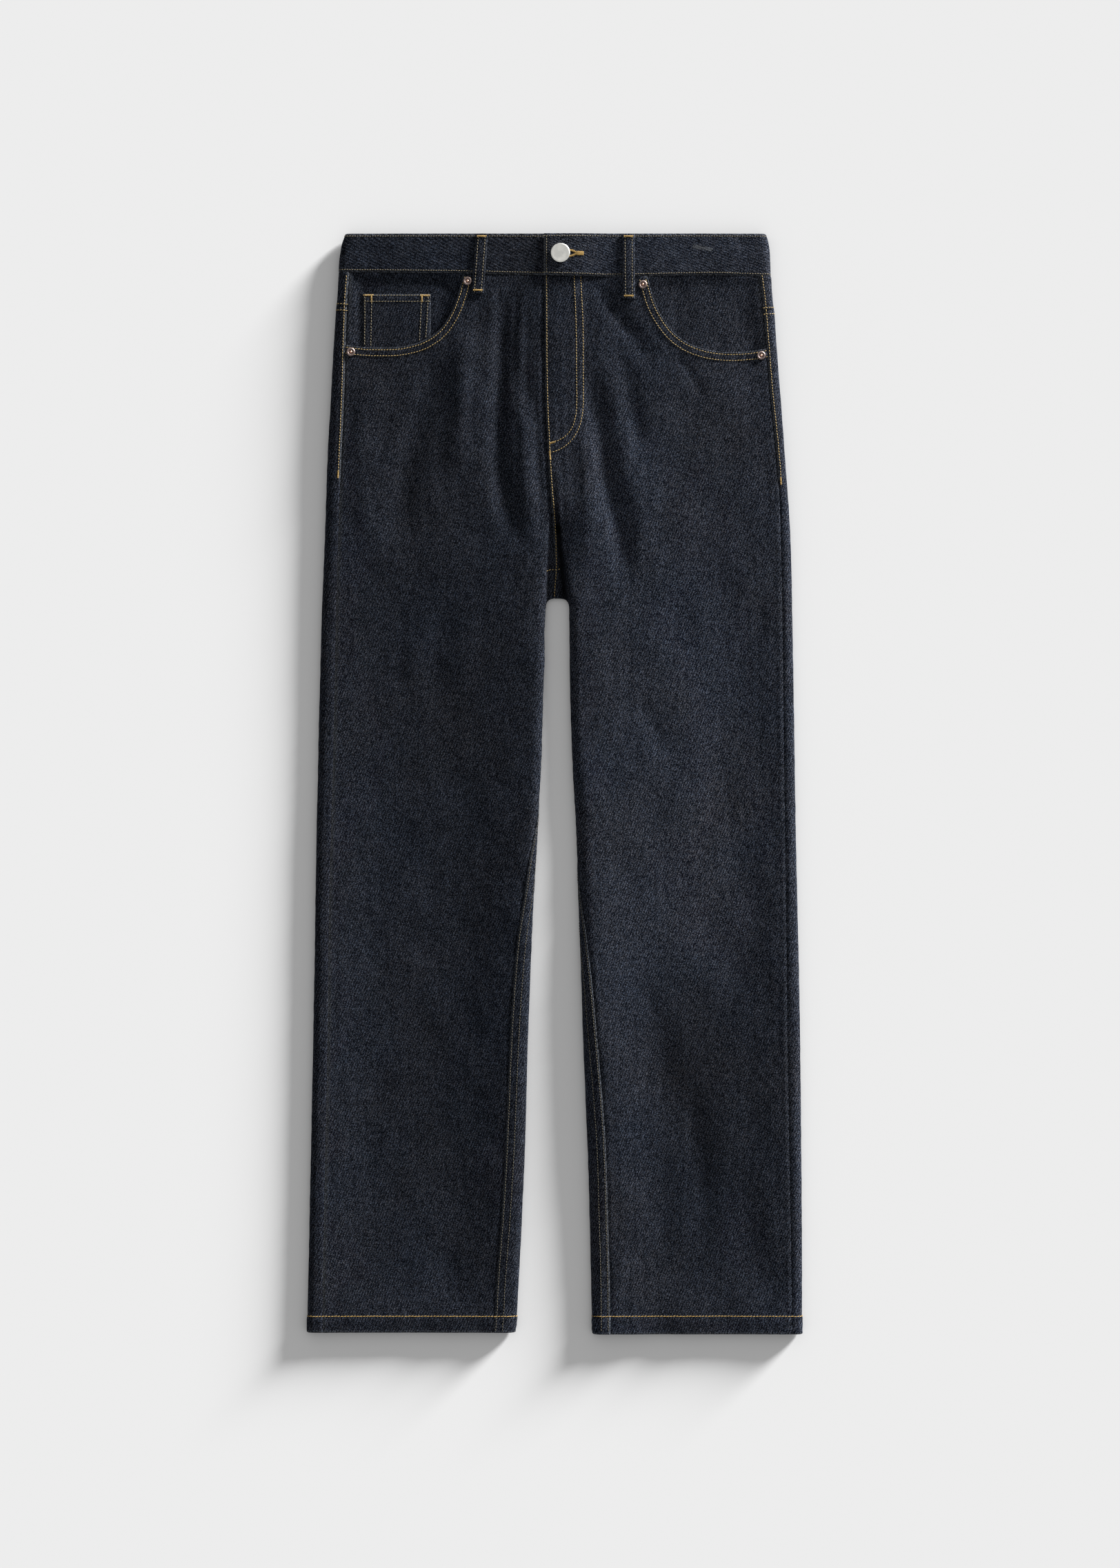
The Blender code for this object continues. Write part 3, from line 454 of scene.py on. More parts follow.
def clothPiece(name, grid, outward, wall, grain, wear):
    # a closed shell round a grid of middle points, with rounded raw edges
    normals = gridNormals(grid, outward)
    thick = np.broadcast_to(wall, grid.shape[:2])[..., None]
    index = np.arange(grid[..., 0].size).reshape(grid.shape[:2])
    count = index.size
    rim = np.concatenate([index[0, :-1], index[:-1, -1], index[-1, :0:-1], index[:0:-1, 0]])
    middle = grid.reshape(-1, 3)[rim]
    along = unit(np.roll(middle, -1, axis=0) - np.roll(middle, 1, axis=0))
    away = np.cross(along, normals.reshape(-1, 3)[rim]) * outward
    bulge = middle + away * thick.reshape(-1, 1)[rim] * form["edgeBulge"]
    layers = [(grid + normals * thick * half).reshape(-1, 3) for half in (0.5, -0.5)]
    points = np.concatenate(layers + [bulge])
    points[:, 2] = np.maximum(points[:, 2], form["rest"])
    ring = 2 * count + np.arange(len(rim))
    rimNext, ringNext = np.roll(rim, -1), np.roll(ring, -1)
    corners = (index[:-1, :-1], index[:-1, 1:], index[1:, 1:], index[1:, :-1])
    topFaces = np.stack([corner.ravel() for corner in corners], 1)
    faces = np.concatenate([
        topFaces, topFaces[:, ::-1] + count, np.stack([rimNext, rim, ring, ringNext], 1),
        np.stack([ringNext, ring, rim + count, rimNext + count], 1)])
    if outward < 0:
        faces = faces[:, ::-1]
    mesh = bpy.data.meshes.new(name)
    # drop runs against Y, so toWorld mirrors the shell and the faces are turned with it
    mesh.from_pydata(toWorld(points).tolist(), [], faces[:, ::-1].tolist())
    source = np.concatenate([np.arange(count), np.arange(count), rim])
    loops = np.zeros(len(mesh.loops), int)
    mesh.loops.foreach_get("vertex_index", loops)
    uv = grain.reshape(-1, 2)[source][loops] * mm
    mesh.uv_layers.new(name="grain").data.foreach_set("uv", uv.ravel())
    # the fade attribute carries painted light and shade; wear is the cloth's own wear
    for label, values in (("wear", np.clip(wear, 0, 1)), ("fade", fadeAt(grid))):
        values = np.broadcast_to(values, grid.shape[:2]).reshape(-1)[source].astype(np.float32)
        mesh.attributes.new(label, "FLOAT", "POINT").data.foreach_set("value", values)
    mesh.shade_smooth()
    mesh.update()
    tree = BVHTree.FromPolygons([Vector(point) for point in points], faces.tolist())
    return {"object": placed(name, mesh), "grid": grid, "normals": normals, "wall": thick[..., 0], "tree": tree}


def innerEnd(side, drop, layer):
    # where a row of cloth ends: on the rise, on the gap's rounded top or on the inner fold
    tip = form["fanTip"]
    onRise = drop + (form["gapTop"] - tip) * ease((drop - form["fanFrom"]) / (tip - form["fanFrom"]))
    riseX = smooth(frontRise, "middle", onRise) if layer == front else form["forkX"]
    begin = (form["forkX"] - archMiddle) / archHalf
    start = sign[side] * math.copysign(math.asin(abs(begin) ** (1 / form["gapCorner"])), begin)
    share = np.clip((drop - tip) / (archEnd - tip), 0, 1)
    archX, archDrop = archAt(sign[side] * (start + (math.pi / 2 - start) * share))
    x = np.where(drop < tip, riseX, np.where(drop < archEnd, archX, innerFold(side, drop)))
    return float(x), float(np.where(drop < tip, onRise, np.where(drop < archEnd, archDrop, drop)))


def fineSteps(count):
    return (1 - np.cos(np.linspace(0, math.pi, count))) / 2


def runOn(layer, startX, endX, drop, side, count, fanLayer=front):
    # points across a layer at one row, close together at both ends
    x = startX + (endX - startX) * fineSteps(count)
    fanX, fanDrop = innerEnd(side, drop, fanLayer)
    near = np.clip(1 - np.abs(x - fanX) / form["fanReach"], 0, 1) ** form["fanPower"]
    drops = drop + (fanDrop - drop) * near
    return np.stack([x, drops, layerHeight[layer](x, drops)], axis=1)


panel = {
    "hip": 150.0,  # above this drop the columns are even
    "blend": 200.0,
    "crowd": 0.62,
    "step": 2.3,  # between rows
    "footFrom": 1058.0,
    "footStep": 1.3,
    "footRoom": (1.2, 0.5),
    "hemStitch": 1065.5,
    "seam": 0.15,  # half the gap at a plain seam
    "edgeSeam": 0.3,
    "points": {"layer": 140, "wrap": 40, "behind": 50, "above": 90},
    "behind": 14.0,  # how far past the inner fold a row is laid out before it is cut at the inseam
    "above": 45.0,
}
hemDrops = {right: 1081.2, left: form["length"]}
flySkirt = {"under": 5.0, "from": 300.0, "fade": 40.0}  # how far the right front runs on under the left


def rowDrops(side, first):
    foot, (room, last) = hemDrops[side], panel["footRoom"]
    coarse = np.arange(first, panel["footFrom"], panel["step"])
    fine = np.arange(panel["footFrom"], foot - room, panel["footStep"])
    return np.concatenate([coarse, fine, [foot - last, foot]])


def spread(line, columns, drop):
    # even places along a row, below the hip closer together towards both ends
    even = np.linspace(0, 1, columns)
    crowded = even - panel["crowd"] * np.sin(2 * math.pi * even) / (2 * math.pi)
    blend = after(drop, panel["hip"], panel["blend"])
    return pointsAt(line, (even * (1 - blend) + crowded * blend) * lengthsOf(line)[-1])


def frontRowLine(side, drop):
    seamX = smooth(sideSeams, side, drop) - sign[side] * panel["seam"]
    endX = innerEnd(side, drop, front)[0]
    spare = flySkirt["under"] * until(drop, flySkirt["from"], flySkirt["fade"]) if side == right else 0.0
    line = runOn(front, seamX, endX + spare, drop, side, panel["points"]["layer"])
    if drop <= archEnd:
        return line
    beyond = endX + sign[side] * panel["behind"]
    behind = runOn(back, endX, beyond, drop, side, panel["points"]["behind"])[1:]
    end = lengthsOf(line)[-1] - smooth(inseams, side, drop) - panel["seam"]
    return cutOff(np.concatenate([line, behind]), end)


def backRowLine(side, drop, dropAt=None):
    # from the side seam round the outer fold and under, to the back rise or the inseam
    if dropAt:
        drop = float(dropAt(sign[side] * form["halfWaist"], front))
    seamX, fold = smooth(sideSeams, side, drop), outerFold(side, drop)
    wrap = runOn(front, seamX + sign[side] * panel["seam"], fold, drop, side, panel["points"]["wrap"])
    endX = innerEnd(side, drop, back)[0]
    under = runOn(back, fold, endX, drop, side, panel["points"]["layer"], back)
    wrap[:, 1] = drop
    if dropAt:
        wrap[:, 1] = dropAt(wrap[:, 0], front)
        under[:, 1] = dropAt(under[:, 0], back)
        under[:, 2] = lowerHeight(under[:, 0], under[:, 1])
    wrap[:, 2] = upperHeight(wrap[:, 0], wrap[:, 1])
    line = np.concatenate([wrap, under[1:]])
    end = lengthsOf(line)[-1] - panel["seam"]
    if dropAt or drop <= archEnd:
        return cutOff(line, end)
    beyond = endX + sign[side] * panel["above"]
    above = runOn(front, endX, beyond, drop, side, panel["points"]["above"])[1:]
    return cutOff(np.concatenate([line, above]), end + smooth(inseams, side, drop))


def spacings(grid):
    # distances from a grid's first and last column, and from its first row
    across = np.linalg.norm(np.diff(grid, axis=1), axis=2)
    fromStart = np.concatenate([np.zeros((len(grid), 1)), np.cumsum(across, axis=1)], axis=1)
    down = np.linalg.norm(np.diff(grid, axis=0), axis=2)
    fromTop = np.concatenate([np.zeros((1, grid.shape[1])), np.cumsum(down, axis=0)])
    return fromStart, fromStart[:, -1:] - fromStart, fromTop


# Humps are a rise, a distance and a half width. Puckers are a rise, a length, a distance and a half width.
# Laps are a rise, a width and a fade, and spans a start and a length.
seamLook = {
    "side": ((-0.3, 0, 1.3), (0.14, 3.2, 2.2)),
    "sidePucker": (0.16, 9.5, 2, 5),
    "hem": ((-0.3, 0, 1.2), (0.18, 5.5, 4)),
    "hemPucker": (0.1, 13, -5, 5),
    "rope": (0.22, 10.5),
    "ropeSlant": 1.4,
    "hemTurn": (-2.0, 2.5),
    "hemPly": (-1.6, 1.8),
    "hemWear": (0.3, 0, 1.0),
}


def hemRelief(x, drop, seed):
    below = drop - panel["hemStitch"]
    rise, size = seamLook["rope"]
    rope = seamWaves(x + seamLook["ropeSlant"] * below, size, seed) * rise * after(below, *seamLook["hemTurn"])
    return rope + humps(below, *seamLook["hem"]) + puckers(x, below, seed + 1, *seamLook["hemPucker"])


def hemWall(drop):
    turned = after(drop - panel["hemStitch"], *seamLook["hemPly"])
    return form["wall"] + (form["double"] - form["wall"]) * turned


frontLook = {
    "seed": {right: 11, left: 23},
    "mouthColumns": 54,
    "riseColumns": 36,
    "topRows": 34,
    "topCrowd": 1.15,
    "topGap": 0.25,
    "mouthReach": 9.0,
    "mouthFoot": 135.0,
    "mouthStep": 2.9,
    "mouthLap": (0.45, 7.5, 3),
    "mouthDents": ((-0.16, 2, 0.9), (-0.16, 7.8, 1.0)),
    "mouthPucker": (0.14, 8.5, 4.5, 4),
    "bandSeam": (-0.35, 0, 2.0),
    "inseamFrom": 540.0,
    "innerHigh": (-0.2, 0, 1.5),
    "innerLow": (-0.55, 0, 2.2),
    "innerPucker": (0.12, 10, 4, 6),
    "legFrom": 372.0,
    "ground": ((0.3, 62, 1.7, 1, 18), (0.1, 17, 1.5, 2, 8)),  # rise, size, stretch, seed, fade at the side
    "gather": (0.15, 9.0),
    "gatherWander": (2.5, 41.0),
    "gatherPlace": (24.0, 30.0),
    "gatherSpans": ((44, 16), (190, 110)),
    "sideWear": {right: (0.2, 1.5, 1.4), left: (0.06, 1.5, 1.4)},
    "mouthWear": (0.2, 0, 0.9),
    "turn": 150.0,  # the grain turns to follow the folds over this length
}
flyLook = {
    "foot": 215.0,
    "lift": 0.95,
    "edge": (-1.2, 2.6),
    "felled": (0.55, 7.5, 2.5),
    "felledFrom": (205, 12),
    "end": 345.0,
    "fade": (322, 18),
    "dent": (-0.15, 1.8, 0.8),
    "dentEnd": 335.0,
    "pucker": (0.12, 8.0, 4, 5),
    "puckerEnd": 340.0,
    "dip": (1.4, 1.5, 4.0),  # the right front, under the fly
    "dipFade": (310, 30),
    "wear": (0.35, 0, 0.9),
}


def mouthEdge(side):
    edge = evenPoints(smoothLine(mouths[side], 120), frontLook["mouthColumns"] + 1)
    edge[0, 0] = smooth(sideSeams, side, edge[0, 1]) - sign[side] * panel["seam"]
    end = smooth(frontRise, "middle", 40.0) + (flySkirt["under"] if side == right else 0.0)
    x = np.linspace(edge[-1, 0], end, frontLook["riseColumns"] + 1)
    return np.concatenate([edge[:-1], np.stack([x, bandDrop(x) + frontLook["topGap"]], axis=1)])


def flyRelief(side, x, drop, seed):
    fromRise = x - smooth(frontRise, "middle", drop)
    if side == right:
        return -lapped(-fromRise, *flyLook["dip"]) * until(drop, *flyLook["dipFade"]) * (drop < flyLook["end"])
    line = smoothLine(flyCurve, 30)
    reach = lineReach(x, drop, line)[0]
    inside = np.where((x < np.interp(drop, line[:, 1], line[:, 0])) & (drop < flyLook["foot"]), reach, -reach)
    fly = flyLook["lift"] * after(inside, *flyLook["edge"])
    felled = lapped(fromRise, *flyLook["felled"]) * after(drop, *flyLook["felledFrom"])
    relief = np.where(drop < flyLook["end"], np.maximum(fly, felled), 0) * until(drop, *flyLook["fade"])
    relief += humps(fromRise, flyLook["dent"]) * (drop < flyLook["dentEnd"])
    return relief + puckers(drop, fromRise, seed, *flyLook["pucker"]) * (drop < flyLook["puckerEnd"])


def frontPanel(side):
    look, seed = frontLook, frontLook["seed"][side]
    columns = look["mouthColumns"] + look["riseColumns"] + 1
    drops = rowDrops(side, panel["hip"])
    lower = np.stack([spread(frontRowLine(side, drop), columns, drop) for drop in drops])
    steps = (np.arange(look["topRows"]) / look["topRows"]) ** look["topCrowd"]
    edge = mouthEdge(side)
    flat = edge[None] + (lower[0, None, :, :2] - edge[None]) * steps[:, None, None]
    upper = np.concatenate([flat, upperHeight(flat[..., 0], flat[..., 1])[..., None]], axis=2)
    grid = np.concatenate([upper, lower])
    x, drop = grid[..., 0], grid[..., 1]
    fromSide, fromInner, fromTop = spacings(grid)
    fromRise = x - smooth(frontRise, "middle", drop)
    relief = humps(fromSide, *seamLook["side"]) + puckers(drop, fromSide, seed, *seamLook["sidePucker"])
    # the pocket mouth is a turned edge under two rows
    isMouth = (np.arange(columns) <= look["mouthColumns"])[None, :]
    mouthReach = lineReach(x, drop, smoothLine(mouths[side], 40))[0]
    lap = lapped(mouthReach, *look["mouthLap"]) + humps(mouthReach, *look["mouthDents"])
    lap += puckers(np.arange(columns)[None, :] * look["mouthStep"], mouthReach, seed + 3, *look["mouthPucker"])
    relief += np.where(isMouth | (mouthReach < look["mouthReach"]), lap, 0) * (drop < look["mouthFoot"])
    relief += np.where(isMouth, 0, humps(fromTop, look["bandSeam"]))
    relief += flyRelief(side, x, drop, seed + 5)
    # the inseam's lower edge slips under the felled one
    isLow = drop > look["inseamFrom"]
    relief += np.where(isLow, humps(fromInner, look["innerLow"]), humps(fromInner, look["innerHigh"]))
    relief += puckers(drop, fromInner, seed + 7, *look["innerPucker"]) * (drop > look["legFrom"])
    relief += hemRelief(x, drop, seed + 9)
    # loose ground between the main creases
    for rise, size, stretch, more, fade in look["ground"]:
        relief += rise * softWaves(x, drop, size, stretch, seed + more) * ease(fromSide / fade)
    # fine gathers hang from the waist seam beside the fly
    wander = x + look["gatherWander"][0] * np.sin(drop / look["gatherWander"][1] + seed)
    place, half = look["gatherPlace"]
    begin, end = look["gatherSpans"]
    hang = bell(np.abs(fromRise) - place, half) * after(drop, *begin) * until(drop, *end)
    relief += look["gather"][0] * seamWaves(wander, look["gather"][1], seed + 4) * hang
    wear = humps(fromSide, look["sideWear"][side]) + np.where(isMouth, humps(mouthReach, look["mouthWear"]), 0)
    wear += humps(hemDrops[side] - drop, seamLook["hemWear"])
    if side == left:
        wear += humps(fromRise, flyLook["wear"]) * (drop < flyLook["dentEnd"])
    # down the leg the grain follows the cloth round its folds
    onLeg = after(drop, panel["hip"], look["turn"]) * (np.arange(len(grid)) >= look["topRows"])[:, None]
    across = x + (smooth(sideSeams, side, drop) - sign[side] * fromSide - x) * onLeg
    grid = grid + gridNormals(grid, -sign[side]) * relief[..., None]
    grain = np.stack([across, drop], axis=2)
    return clothPiece("frontPanel" + side.title(), grid, -sign[side], hemWall(drop), grain, wear)


backLook = {
    "seed": {right: 41, left: 57},
    "columns": 84,
    "first": 112.0,
    "topRows": 14,
    "yokeRows": 24,
    "hipEnd": (240, 6),  # the topstitched stretch of the side seam
    "hipLap": (0.4, 7, 3),
    "hipDent": (-0.15, 2, 0.8),
    "inseamLap": (0.5, 9, 2.5),
    "inseamDents": ((-0.16, 1.6, 0.8), (-0.16, 8.2, 0.9)),
    "inseamFade": (375, 30),
    "inseamPucker": (0.14, 9, 5, 5),
    "ground": (0.1, 20, 1.4, 12),
    "hipWear": (0.4, 0, 0.9),
    "inseamWear": (0.35, 0, 0.9),
    "inseamWearFrom": 520.0,
}


def finishBack(side, grid, name):
    look, seed = backLook, backLook["seed"][side]
    x, drop = grid[..., 0], grid[..., 1]
    fromSide, fromInner, _ = spacings(grid)
    stitched = until(drop, *look["hipEnd"])
    relief = stitched * (lapped(fromSide, *look["hipLap"]) + humps(fromSide, look["hipDent"]))
    relief += (1 - stitched) * humps(fromSide, *seamLook["side"])
    relief += puckers(drop, fromSide, seed, *seamLook["sidePucker"])
    if name.startswith("backPanel"):
        felled = lapped(fromInner, *look["inseamLap"]) + humps(fromInner, *look["inseamDents"])
        relief += felled * after(drop, *look["inseamFade"])
        relief += puckers(drop, fromInner, seed + 7, *look["inseamPucker"]) * (drop > frontLook["legFrom"])
        relief += hemRelief(x, drop, seed + 9)
        rise, size, stretch, fade = look["ground"]
        relief += rise * softWaves(x, drop, size, stretch, seed + 2) * ease(fromSide / fade)
    grid = grid + gridNormals(grid, sign[side]) * relief[..., None]
    wear = stitched * humps(fromSide, look["hipWear"]) + humps(hemDrops[side] - drop, seamLook["hemWear"])
    wear += humps(fromInner, look["inseamWear"]) * (drop > look["inseamWearFrom"])
    grain = np.stack([smooth(sideSeams, side, drop) + sign[side] * fromSide, drop], axis=2)
    return clothPiece(name, grid, sign[side], hemWall(drop), grain, wear)


def backPanel(side):
    columns = backLook["columns"]
    first = backRowLine(side, 0, lambda x, layer: yokeDrop(x) + panel["edgeSeam"])
    rows = [spread(backRowLine(side, drop), columns, drop) for drop in rowDrops(side, backLook["first"])]
    top = spread(first, columns, 0)
    fill = [top + (rows[0] - top) * t for t in np.linspace(0, 1, backLook["topRows"])[:-1]]
    return finishBack(side, np.stack(fill + rows), "backPanel" + side.title())


def backYoke(side):
    rows = []
    for t in np.linspace(0, 1, backLook["yokeRows"]):
        def dropAt(x, layer, t=t):
            upper = (bandDrop(x) if layer == front else underBandDrop(x)) + panel["edgeSeam"]
            return upper + (yokeDrop(x) - panel["edgeSeam"] - upper) * t

        rows.append(spread(backRowLine(side, 0, dropAt), backLook["columns"], 0))
    return finishBack(side, np.stack(rows), "backYoke" + side.title())


print("cutting the panels")
pieces = {}
for side in sides:
    pieces["frontPanel" + side.title()] = frontPanel(side)
    pieces["backPanel" + side.title()] = backPanel(side)
    pieces["backYoke" + side.title()] = backYoke(side)

# ---- waistband ----
band = {
    "endX": -10.2,  # free end of the wearer's left half, on top
    "underlapX": 21.0,
    "lap": 2.7,
    "lapSpan": (24.0, 30.0),
    "under": 3.0,
    "tipShare": 0.45,
    "roll": 6.0,
    "rows": 27,
    "step": 2.3,
    "height": 39.0,
    "fold": 0.6,
    "points": 160,
    "topHumps": ((-0.2, 2.3, 0.9), (0.22, 20, 14)),
    "lowHumps": (-0.22, 2.2, 0.9),
    "endHumps": (-0.2, 2.2, 0.9),
    "topPucker": (71, 0.13, 9.0, 4, 6),
    "lowPucker": (73, 0.15, 10.5, 4, 6),
    "slants": (0.6, -0.5),
    "ground": ((0.2, 26, 75), (0.07, 9, 77)),  # rise, size and seed
    "thinning": (0.7, 1.6),
    "scuff": ((138.0, 12.5), (154.0, 15.5)),
    "scuffWear": (0.9, 0, 1.3),
    "wear": ((0.35, 0, 1.1), (0.12, 0, 0.8), (0.45, 0, 1.0)),  # at the lower edge, the top and the free end
}


def bandHeight(layer, x, drop, foldLeft, foldRight):
    top = topHeight(x, drop)
    tip = band["under"] + (top - band["under"]) * band["tipShare"]
    flat = rounded(np.minimum(x - foldRight, foldLeft - x), band["roll"])
    return tip - (tip - band["under"]) * flat if layer == back else tip + (top - tip) * flat


def bandLine(t):
    # once round the waist at one share of the band's height, from the free end to the underlap
    foldLeft = float(outerFold(left, band["height"] * t)) - band["fold"]
    foldRight = float(outerFold(right, band["height"] * t)) + band["fold"]
    stretches = []
    for layer, start, end in ((front, band["endX"], foldLeft), (back, foldLeft, foldRight),
                              (front, foldRight, band["underlapX"])):
        x = start + (end - start) * fineSteps(band["points"])
        drop = t * (bandDrop(x) if layer == front else underBandDrop(x))
        z = bandHeight(layer, x, drop, foldLeft, foldRight)
        if not stretches:
            z = z + band["lap"] * until(x, *band["lapSpan"])
        stretches.append(np.stack([x, drop, z], axis=1)[1 if stretches else 0:])
    return np.concatenate(stretches)


def waistband():
    lines = [bandLine(t) for t in np.linspace(0, 1, band["rows"])]
    columns = int(lengthsOf(lines[0])[-1] / band["step"])
    grid = np.stack([evenPoints(line, columns) for line in lines])
    fromStart, fromEnd, fromTop = spacings(grid)
    fromLow = fromTop[-1:] - fromTop
    topSlant, lowSlant = band["slants"]
    normals = gridNormals(grid, 1.0)
    relief = humps(fromTop, *band["topHumps"]) + humps(fromLow, band["lowHumps"])
    relief += puckers(fromStart + topSlant * fromTop, fromTop, *band["topPucker"])
    relief += puckers(fromStart + lowSlant * fromTop, fromLow, *band["lowPucker"])
    for rise, size, seed in band["ground"]:
        relief += rise * softWaves(fromStart, fromTop, size, 1.0, seed)
    grid = grid + normals * (relief + humps(fromStart, band["endHumps"]))[..., None]
    edge = np.minimum(np.minimum(fromTop, fromLow), np.minimum(fromStart, fromEnd))
    thinning, reach = band["thinning"]
    wall = form["double"] - thinning * (1 - ease(edge / reach))
    wear = sum(humps(distance, row) for distance, row in zip((fromLow, fromTop, fromStart), band["wear"]))
    scuff = lineReach(grid[..., 0], grid[..., 1], np.array(band["scuff"]))[0]
    wear += humps(scuff, band["scuffWear"]) * (normals[..., 2] > 0)
    return clothPiece("waistbandStrip", grid, 1.0, wall, np.stack([fromTop, -fromStart], axis=2), wear)


pieces["waistband"] = waistband()

# ---- pocket facings and coin pocket ----
facing = {
    "tuck": 10.0,
    "rows": 30,
    "columns": 46,
    "rise": 16.0,
    "bandShare": 1.3,
    "least": 0.35,
    "depth": {right: 3.0, left: 1.7},
    "corner": (204.0, 40.0),
    "seam": 0.5,
    "seamTop": 60.0,
    "seamFoot": 118.0,
    "footRoom": 3.0,
    "ground": (0.25, 34, 81, 10),
    "dent": (-1.0, 0, 3.5),
    "dentLine": ((-126, 42), (-114, 50), (-96, 62)),
    "dentEnd": 0.3,
    "wear": (0.2, 1.6, 1.4),
}
coin = {
    "left": -188.4,
    "right": -122.0,
    "top": 59.2,
    "tuck": 4.0,
    "depth": 1.35,
    "rows": 30,
    "columns": 36,
    "wall": 1.0,
    "edge": (0.5, 1.6),
    "humps": ((0.25, 4.5, 2.5), (-0.14, 1.5, 0.7)),
    "pucker": (91, 0.12, 8, 4, 5),
    "wear": (0.15, 0, 0.8),
}


def facingMiddle(side, x, drop):
    # lower at the pocket mouth, and level with its neighbours at the seams that hold it
    fromSeam = np.abs(x - smooth(sideSeams, side, drop))
    close = ease(np.minimum(fromSeam, (drop - bandDrop(x)) * facing["bandShare"]) / facing["rise"])
    return upperHeight(x, drop) - (facing["least"] + (facing["depth"][side] - facing["least"]) * close)


def pocketFacing(side):
    edge = evenPoints(smoothLine(mouths[side], 120), facing["columns"] + 1)
    endX = edge[-1, 0] - sign[side] * facing["tuck"]
    seamTop, seamFoot = (smooth(sideSeams, side, facing[place]) - sign[side] * facing["seam"]
                         for place in ("seamTop", "seamFoot"))
    topX = seamTop + (endX - seamTop) * np.linspace(0, 1, len(edge))
    top = np.stack([topX, bandDrop(topX) + frontLook["topGap"]], axis=1)
    away = edge - np.array([sign[side] * facing["corner"][0], facing["corner"][1]])
    low = edge + unit(away) * facing["tuck"]
    low[0] = (seamFoot, edge[0, 1] + facing["tuck"])
    low[-1] = (endX, bandDrop(edge[-1, 0]) + facing["footRoom"])
    flat = top[None] + (low - top)[None] * np.linspace(0, 1, facing["rows"])[:, None, None]
    flat[..., 1] = np.maximum(flat[..., 1], bandDrop(flat[..., 0]) + frontLook["topGap"])
    x, drop = flat[..., 0], flat[..., 1]
    fromSeam = np.abs(x - smooth(sideSeams, side, drop))
    rise, size, seed, fade = facing["ground"]
    z = facingMiddle(side, x, drop) + rise * softWaves(x, drop, size, 1.0, seed) * ease(fromSeam / fade)
    if side == right:
        distance, where = lineReach(x, drop, smoothLine(facing["dentLine"], 8))
        z = z + humps(distance, facing["dent"]) * ease(where / facing["dentEnd"])
    grid = np.concatenate([flat, z[..., None]], axis=2)
    wear = humps(fromSeam, facing["wear"])
    return clothPiece("pocketFacing" + side.title(), grid, -sign[side], form["wall"], flat, wear)


def coinPocket():
    mouth = smoothLine(mouths[right], 80)
    x = np.linspace(coin["left"], coin["right"], coin["columns"])
    foot = np.interp(x, mouth[:, 0], mouth[:, 1]) + coin["tuck"]
    drop = coin["top"] + (foot - coin["top"])[None] * np.linspace(0, 1, coin["rows"])[:, None]
    x = np.broadcast_to(x, drop.shape)
    edge = np.minimum(drop - coin["top"], np.minimum(x - coin["left"], coin["right"] - x))
    fall, reach = coin["edge"]
    z = facingMiddle(right, x, drop) + coin["depth"] - fall * (1 - ease(edge / reach))
    z = z + humps(edge, *coin["humps"]) + puckers(x + drop, edge, *coin["pucker"])
    grid = np.stack([x, drop, z], axis=2)
    return clothPiece("coinPocket", grid, 1.0, coin["wall"], grid[..., :2], humps(edge, coin["wear"]))


for side in sides:
    pieces["pocketFacing" + side.title()] = pocketFacing(side)
pieces["coinPocket"] = coinPocket()

# ---- back pockets, under the seat ----
backPocket = {
    "x": 104.0,
    "top": 121.0,
    "topRoom": 3.0,
    "halfTop": 79.0,
    "halfLow": 63.0,
    "shoulder": 142.0,
    "point": 164.0,
    "footLean": 0.94,
    "level": 1.05,
    "wall": 1.15,
    "rows": 42,
    "columns": 40,
    "humps": ((0.14, 1.8, 0.7), (-0.12, 4.8, 2.5)),
    "wear": (0.5, 0, 0.9),
}


def makeBackPocket(side):
    look = backPocket
    across = np.linspace(-1, 1, look["columns"])[None, :]
    foot = look["point"] - (look["point"] - look["shoulder"]) * np.abs(across)
    drop = np.linspace(0, 1, look["rows"])[:, None] * foot
    half = look["halfTop"] + (look["halfLow"] - look["halfTop"]) * drop / look["shoulder"]
    half = np.where(drop > look["shoulder"], look["halfLow"], half)
    fromEdge = np.minimum(half * (1 - np.abs(across)), (foot - drop) * look["footLean"])
    z = look["level"] + humps(np.minimum(fromEdge, drop + look["topRoom"]), *look["humps"])
    grid = np.stack([sign[side] * look["x"] + half * across, drop + look["top"], z], axis=2)
    wear = humps(fromEdge, look["wear"]) + humps(drop, look["wear"])
    return clothPiece("backPocket" + side.title(), grid, -1.0, look["wall"], grid[..., :2], wear)


for side in sides:
    pieces["backPocket" + side.title()] = makeBackPocket(side)

# ---- belt loops ----
loopLook = {
    "width": 11.2,
    "wall": {front: 1.4, back: 1.1},
    "clear": 0.2,
    "arch": 0.5,
    "step": 1.1,
    "columns": 11,
    "top": 0.4,
    "level": 0.85,  # of the loops under the back
    "feelers": (-4.5, 0, 4.5),
    "bridge": 3,  # rows either side whose highest point a loop clears
    "smoothing": 5,
    "humps": ((0.5, 0, 4.2), (-0.14, 3.4, 0.6)),
    "swell": (0.05, 7, 95),
    "backCrown": -0.3,
    "turnIn": (0.25, 4, 2),
    "wear": (0.12, 5.6, 0.7),
}
loopPlaces = (
    ("beltLoopFrontRight", front, -71.4, -75.6, 59.0), ("beltLoopFrontLeft", front, 72.8, 73.1, 64.5),
    ("beltLoopSideRight", back, -152.0, -152.0, 61.0), ("beltLoopSideLeft", back, 152.0, 152.0, 61.0),
    ("beltLoopCenterBack", back, 0.0, 0.0, 61.0),
)


def topOf(names, x, drop):
    # highest point of the named pieces at a place, with its normal
    best = None
    for name in names:
        hit = pieces[name]["tree"].ray_cast(Vector((x, drop, 60.0)), Vector((0, 0, -1)))
        if hit[0] is not None and (best is None or hit[0].z > best[0].z):
            best = hit
    return best


